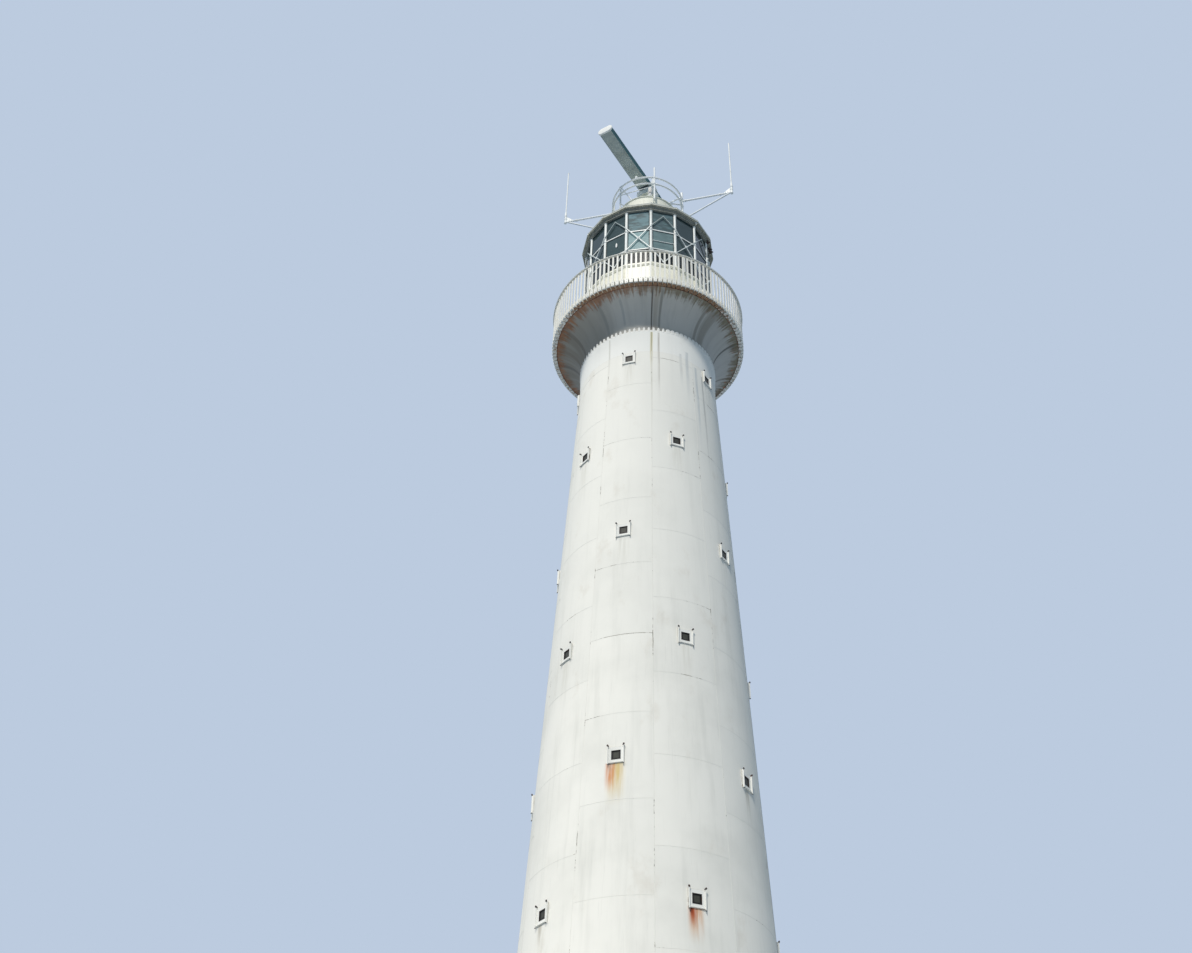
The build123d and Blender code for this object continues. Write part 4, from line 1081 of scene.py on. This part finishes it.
# %% Aerial fittings
WHIP = 1.622
whip_parts, bracket_parts = Form(), Form()
for bearing in (78, -102):
    base = standing(bearing, WHIP, 20.195)
    whip_parts.spun([(0.019, -0.004), (0.022, 0.002), (0.022, 0.046), (0.018, 0.052), (0.018, 0.094),
                     (0.0145, 0.100), (0.0125, 0.130)], base, 16)
    for z in (20.66, 21.13):
        whip_parts.spun([(0.012, 0), (0.0145, 0.004), (0.0145, 0.026), (0.012, 0.030)],
                        standing(bearing, WHIP, z), 16)
    whip_parts.spun([(0.012, -0.02), (0.0145, -0.014), (0.0145, 0.0), (0.007, 0.005)],
                    standing(bearing, WHIP, 21.596), 16)
    for out, z in ((1.590, 20.050), (1.545, 20.050), (1.500, 20.046), (1.592, 20.090), (1.594, 20.135)):
        for hand in (0, 180):
            spot_on = standing(bearing, out, z) @ spin(90 + hand, "Y")
            bracket_parts.bolt(spot_on @ shift(0, 0, 0.004), 0.007, 0.009)
    for z in (19.985, 20.090, 20.175):
        sleeve(bracket_parts, standing(bearing, WHIP, z), 0.0205, 0.024)
    for z in (19.430, 19.565, 20.005):
        sleeve(bracket_parts, standing(bearing, RING, z), 0.0245, 0.034)
    for out in (0.730, 1.400):
        sleeve(bracket_parts, facing(bearing, out, 20.005), 0.0185, 0.040)
    bracket_parts.spun([(0.020, 0), (0.025, 0.004), (0.025, 0.012), (0.016, 0.018)],
                       standing(bearing, RING, 20.246), 16)
piece("whip_ferrules", whip_parts, aerial_paint)
piece("bracket_fittings", bracket_parts, white_tube)

# %% [markdown]
# A small bent tube stands on the sill at the right, like the end of a handrail. It is a curve with a round
# bevel. It is fixed at both ends, so it is part of the wall and not a free cord.

# %% Bent tube on the sill
def tube(name, points, radius, finish):
    """A round tube through points, smoothed."""
    curve = bpy.data.curves.new(name, "CURVE")
    curve.dimensions = "3D"
    curve.bevel_depth, curve.bevel_resolution, curve.use_fill_caps = radius, 3, True
    spline = curve.splines.new("NURBS")
    spline.points.add(len(points) - 1)
    for point, spot_on in zip(spline.points, points):
        point.co = (*spot_on, 1.0)
    spline.order_u, spline.use_endpoint_u, spline.resolution_u = 3, True, 6
    curve.materials.append(finish)
    shown = show(name, curve)
    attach(shown, "tower")
    print(name, len(points), "points")


tube("sill_hoop", [polar(27, 1.168, 16.90), polar(27, 1.168, 17.15), polar(27, 1.168, 17.26),
                   polar(30, 1.168, 17.29), polar(33, 1.168, 17.26), polar(33, 1.168, 17.15),
                   polar(33, 1.168, 16.90)], 0.010, white_tube)

# %% [markdown]
# The lamp on the drum is a white cylinder on a short stem, with a collar and a cap. A white lamp and a few
# dark fittings hang under the eave at the right.

# %% Lamps
def lens_finish(name, base, deep):
    """Lens plastic, ribbed and a little dusty."""
    tree = Finish(name)
    z = tree.parts()[2]
    rib = tree.node("ShaderNodeMath", {"operation": "SINE"}, {0: z * 900})
    dust = tree.noise(30.0, 4.0)
    return tree.done(tree.mix(dust * 0.7, base, deep), 0.2 + dust * 0.2, tree.bump(rib, 0.0006))


lamp_housing = lens_finish("lamp_housing", rgb(240, 236, 232), rgb(222, 214, 208))
white_lens = lens_finish("white_lens", rgb(240, 238, 226), rgb(206, 200, 180))
dress(lamp_housing, "drum_lamp")
dress(white_lens, "eave_lamp")
guards, fixtures = Form(), Form()
lamp = standing(5, 0.520, DRUM_TOP)
guards.spun([(0.034, 0), (0.034, 0.008), (0.020, 0.012), (0.015, 0.056)], lamp, 20)
guards.spun([(0.034, 0.056), (0.039, 0.060), (0.039, 0.074), (0.036, 0.078)], lamp, 24)
guards.spun([(0.036, 0.236), (0.0385, 0.240), (0.0385, 0.252), (0.036, 0.256)], lamp, 24)
guards.spun([(0.021, 0.308), (0.022, 0.312), (0.014, 0.320), (0.004, 0.323)], lamp, 20)
eave_lamp = standing(48, 1.161, 18.505)
guards.spun([(0.026, 0.0), (0.026, -0.010), (0.020, -0.016), (0.018, -0.022)], eave_lamp, 20)
for bearing, z in ((70, 18.44), (76, 18.38), (82, 18.46)):
    fixtures.block((0.050, 0.070, 0.035), facing(bearing, 1.150, z), 0.004)
    fixtures.rod(polar(bearing, 1.165, z), polar(bearing, 1.200, z - 0.02), 0.014)
piece("lamp_guards", guards, white_tube)
piece("eave_fixtures", fixtures, stud_iron)

# %% [markdown]
# The scanner has a cast pedestal, a gearbox with a motor, and the long beam, which is a plastic housing with
# white end caps. It turns, so its fittings ride on the scanner's body and keep clear of what stands still.

# %% Scanner finishes
BEAM_BEARING = -30


def housing_finish(name, base, worn, shaded_side=0.0):
    """Matt housing paint, chalky with age, with or without a darker long side that is painted shade on the
    side turned from the light.
    """
    tree = Finish(name)
    x, y, _ = tree.parts()
    chalk = tree.noise(4.0, 6.0)
    runs = tree.noise((11, 11, 3.0), 4.0)
    grain = tree.noise(80.0, 2.0)
    paint = tree.mix(tree.step(chalk * 0.6 + runs * 0.4, 0.38, 0.68), base, worn)
    across = x * cos(radians(BEAM_BEARING)) + y * sin(radians(BEAM_BEARING))
    # The long side away from the light is painted dark grey-green: painted shade.
    paint = tree.mix(tree.step(across, 0.108, 0.114) * shaded_side, paint, rgb(82, 120, 124))
    return tree.done(paint, 0.55 + chalk * 0.25, tree.bump(grain, 0.0008))


beam_paint = housing_finish("beam_paint", rgb(180, 190, 186), rgb(158, 166, 160), 1.0)
cap_white = housing_finish("cap_white", rgb(254, 254, 251), rgb(242, 242, 238))
gear_paint = housing_finish("gear_paint", rgb(232, 238, 238), rgb(208, 215, 213))
# The turntable and the beam's root are painted dark: painted shade under the beam.
housing_in_beam_shade = housing_finish("housing_in_beam_shade", rgb(80, 90, 92), rgb(62, 70, 72))
dress(beam_paint, "scanner_beam")
dress(housing_in_beam_shade, "scanner_turntable")
dress(gear_paint, "scanner_gearbox")
dress(drum_paint, "scanner_pedestal")

# %% Beam fittings
BEAM = spin(BEAM_BEARING, "Z") @ shift(0, 0, 20.545)
caps, beam_parts, root = Form(), Form(), Form()


def housing_loop(width, height, corner, y):
    """A rounded upright section of the housing at a distance along it."""
    loop = []
    for middle_x, middle_z, first in ((1, 1, 0), (-1, 1, 90), (-1, -1, 180), (1, -1, 270)):
        for step in range(7):
            turn = radians(first + 15 * step)
            loop.append((middle_x * (width / 2 - corner) + corner * cos(turn), y,
                         middle_z * (height / 2 - corner) + corner * sin(turn)))
    return loop


CAP = ((0.292, 0.157, 0.070, 1.562), (0.297, 0.162, 0.0725, 1.568), (0.297, 0.162, 0.0725, 1.586),
       (0.288, 0.153, 0.069, 1.592), (0.262, 0.128, 0.058, 1.5945))
for hand in (-1, 1):
    caps.stack([housing_loop(width, height, corner, hand * y) for width, height, corner, y in CAP], BEAM)
    beam_parts.block((0.010, 3.04, 0.016), BEAM @ shift(hand * 0.1385, 0, 0), 0.002)
    for number in range(20):
        spot_on = BEAM @ shift(hand * 0.1425, -1.43 + 0.1505 * number, 0)
        beam_parts.bolt(spot_on @ spin(hand * 90, "Y"), 0.005, 0.005)
root.block((0.200, 0.340, 0.012), BEAM @ shift(0, 0, -0.066), 0.003)
for x_side in (-1, 1):
    for y_side in (-1, 1):
        root.bolt(BEAM @ shift(x_side * 0.075, y_side * 0.14, -0.072) @ spin(180, "X"), 0.009, 0.009)
root.spun([(0.096, 0), (0.100, 0.004), (0.100, 0.014), (0.096, 0.018)], shift(0, 0, 20.450), 40)
piece("beam_caps", caps, cap_white, "scanner")
piece("beam_fittings", beam_parts, beam_paint, "scanner")
piece("beam_root", root, housing_in_beam_shade, "scanner")

# %% Gearbox, motor and pedestal fittings
GEARBOX = spin(BEAM_BEARING, "Z") @ shift(0, 0, 20.360)
gear_parts, pedestal_parts = Form(), Form()
for hand in (-1, 1):
    side = GEARBOX @ shift(0, hand * 0.130, 0.012) @ spin(hand * -90, "X")
    gear_parts.block((0.240, 0.080, 0.008), side, 0.002)
    for across in (-0.104, -0.035, 0.035, 0.104):
        for upward in (-0.030, 0.030):
            gear_parts.bolt(side @ shift(across, upward, 0.004), 0.006, 0.006)
motor = GEARBOX @ shift(-0.165, 0, 0.004) @ spin(-90, "Y")
fins = [(0.050, 0), (0.058, 0.008)]
for fin in range(8):
    fins += [(0.052, 0.018 + 0.014 * fin), (0.060, 0.020 + 0.014 * fin), (0.060, 0.026 + 0.014 * fin),
             (0.052, 0.028 + 0.014 * fin)]
fins += [(0.056, 0.136), (0.056, 0.160), (0.044, 0.168), (0.020, 0.170)]
gear_parts.spun(fins, motor, 28)
gland = GEARBOX @ shift(0.165, 0.05, -0.01) @ spin(90, "Y")
gear_parts.spun([(0.020, 0), (0.020, 0.012), (0.014, 0.016), (0.014, 0.034), (0.010, 0.038)], gland, 8)
pedestal_parts.spun([(0.190, 0), (0.236, 0.002), (0.238, 0.014), (0.232, 0.020), (0.186, 0.030)],
                    shift(0, 0, DRUM_TOP), 48)
for number in range(12):
    pedestal_parts.bolt(standing(30 * number, 0.216, 19.623), 0.012, 0.014)
pedestal_parts.spun([(0.124, 0), (0.150, 0.004), (0.152, 0.018), (0.148, 0.022), (0.120, 0.024)],
                    shift(0, 0, 20.262), 48)
pedestal_parts.spun([(0.148, -0.014), (0.162, -0.010), (0.160, 0.012), (0.145, 0.016)],
                    shift(0, 0, 19.985), 48)
for number in range(6):
    bearing = 15 + 60 * number
    web = [(0.176, 19.625), (0.228, 19.625), (0.178, 19.820), (0.150, 19.920)]
    pedestal_parts.stack([[polar(bearing + hand * 1.1, r, z) for r, z in web] for hand in (-1, 1)])
piece("gearbox_fittings", gear_parts, gear_paint)
piece("pedestal_fittings", pedestal_parts, drum_paint)

# %% [markdown]
# At the foot, which the photograph doesn't reach, the base plate is held down by anchor bolts with thick
# nuts and a curb runs round the shell. The doorway at the back gets a drip hood, a bead round its frame,
# bolts and a threshold.

# %% Floors and base
floor_iron = iron_finish("floor_plate", rgb(96, 94, 90), rgb(98, 66, 48), 0.4)
dress(floor_iron, "base_plate", "storey_floors", "gallery_deck")
anchors, curb = Form(), Form()
for number in range(60):
    bearing = 3 + 6 * number
    anchors.spun([(0.024, 0), (0.024, 0.004), (0.022, 0.005)], standing(bearing, 1.822, 0.060), 16)
    anchors.spun([(0.0165, 0), (0.0165, 0.016), (0.013, 0.020)], standing(bearing, 1.822, 0.064), 6)
    anchors.spun([(0.009, 0), (0.009, 0.040), (0.006, 0.044)], standing(bearing, 1.822, 0.064), 12)
ENTRANCE = 201
AROUND = [ENTRANCE + 11.2 + 337.6 * step / 225 for step in range(226)]
curb.hoop([(1.786, 0.058), (1.803, 0.058), (1.803, 0.110), (1.798, 0.122), (1.784, 0.130)], AROUND, False)
curb.hoop([(1.778, 0.290), (1.782, 0.286), (1.786, 0.296), (1.786, 0.316), (1.780, 0.322)], AROUND, False)
door_front = facing(ENTRANCE, 1.834, 0.0)
curb.bars(door_front, 0.002, 0.012, 0.003, [
    (0, 1.125, 0.560, 0.022), (0.272, 0.585, 0.020, 1.060), (-0.272, 0.585, 0.020, 1.060)])
curb.block((0.680, 0.030, 0.110), door_front @ shift(0, 1.168, -0.020), 0.006)
curb.block((0.512, 0.016, 0.110), door_front @ shift(0, 0.068, -0.062), 0.003)
for upward in (0.16, 0.36, 0.56, 0.76, 0.96):
    for hand in (-1, 1):
        curb.bolt(door_front @ shift(hand * 0.296, upward, 0.0), 0.010, 0.012)
piece("anchor_bolts", anchors, stud_iron)
piece("foot_curb", curb, casing_paint)
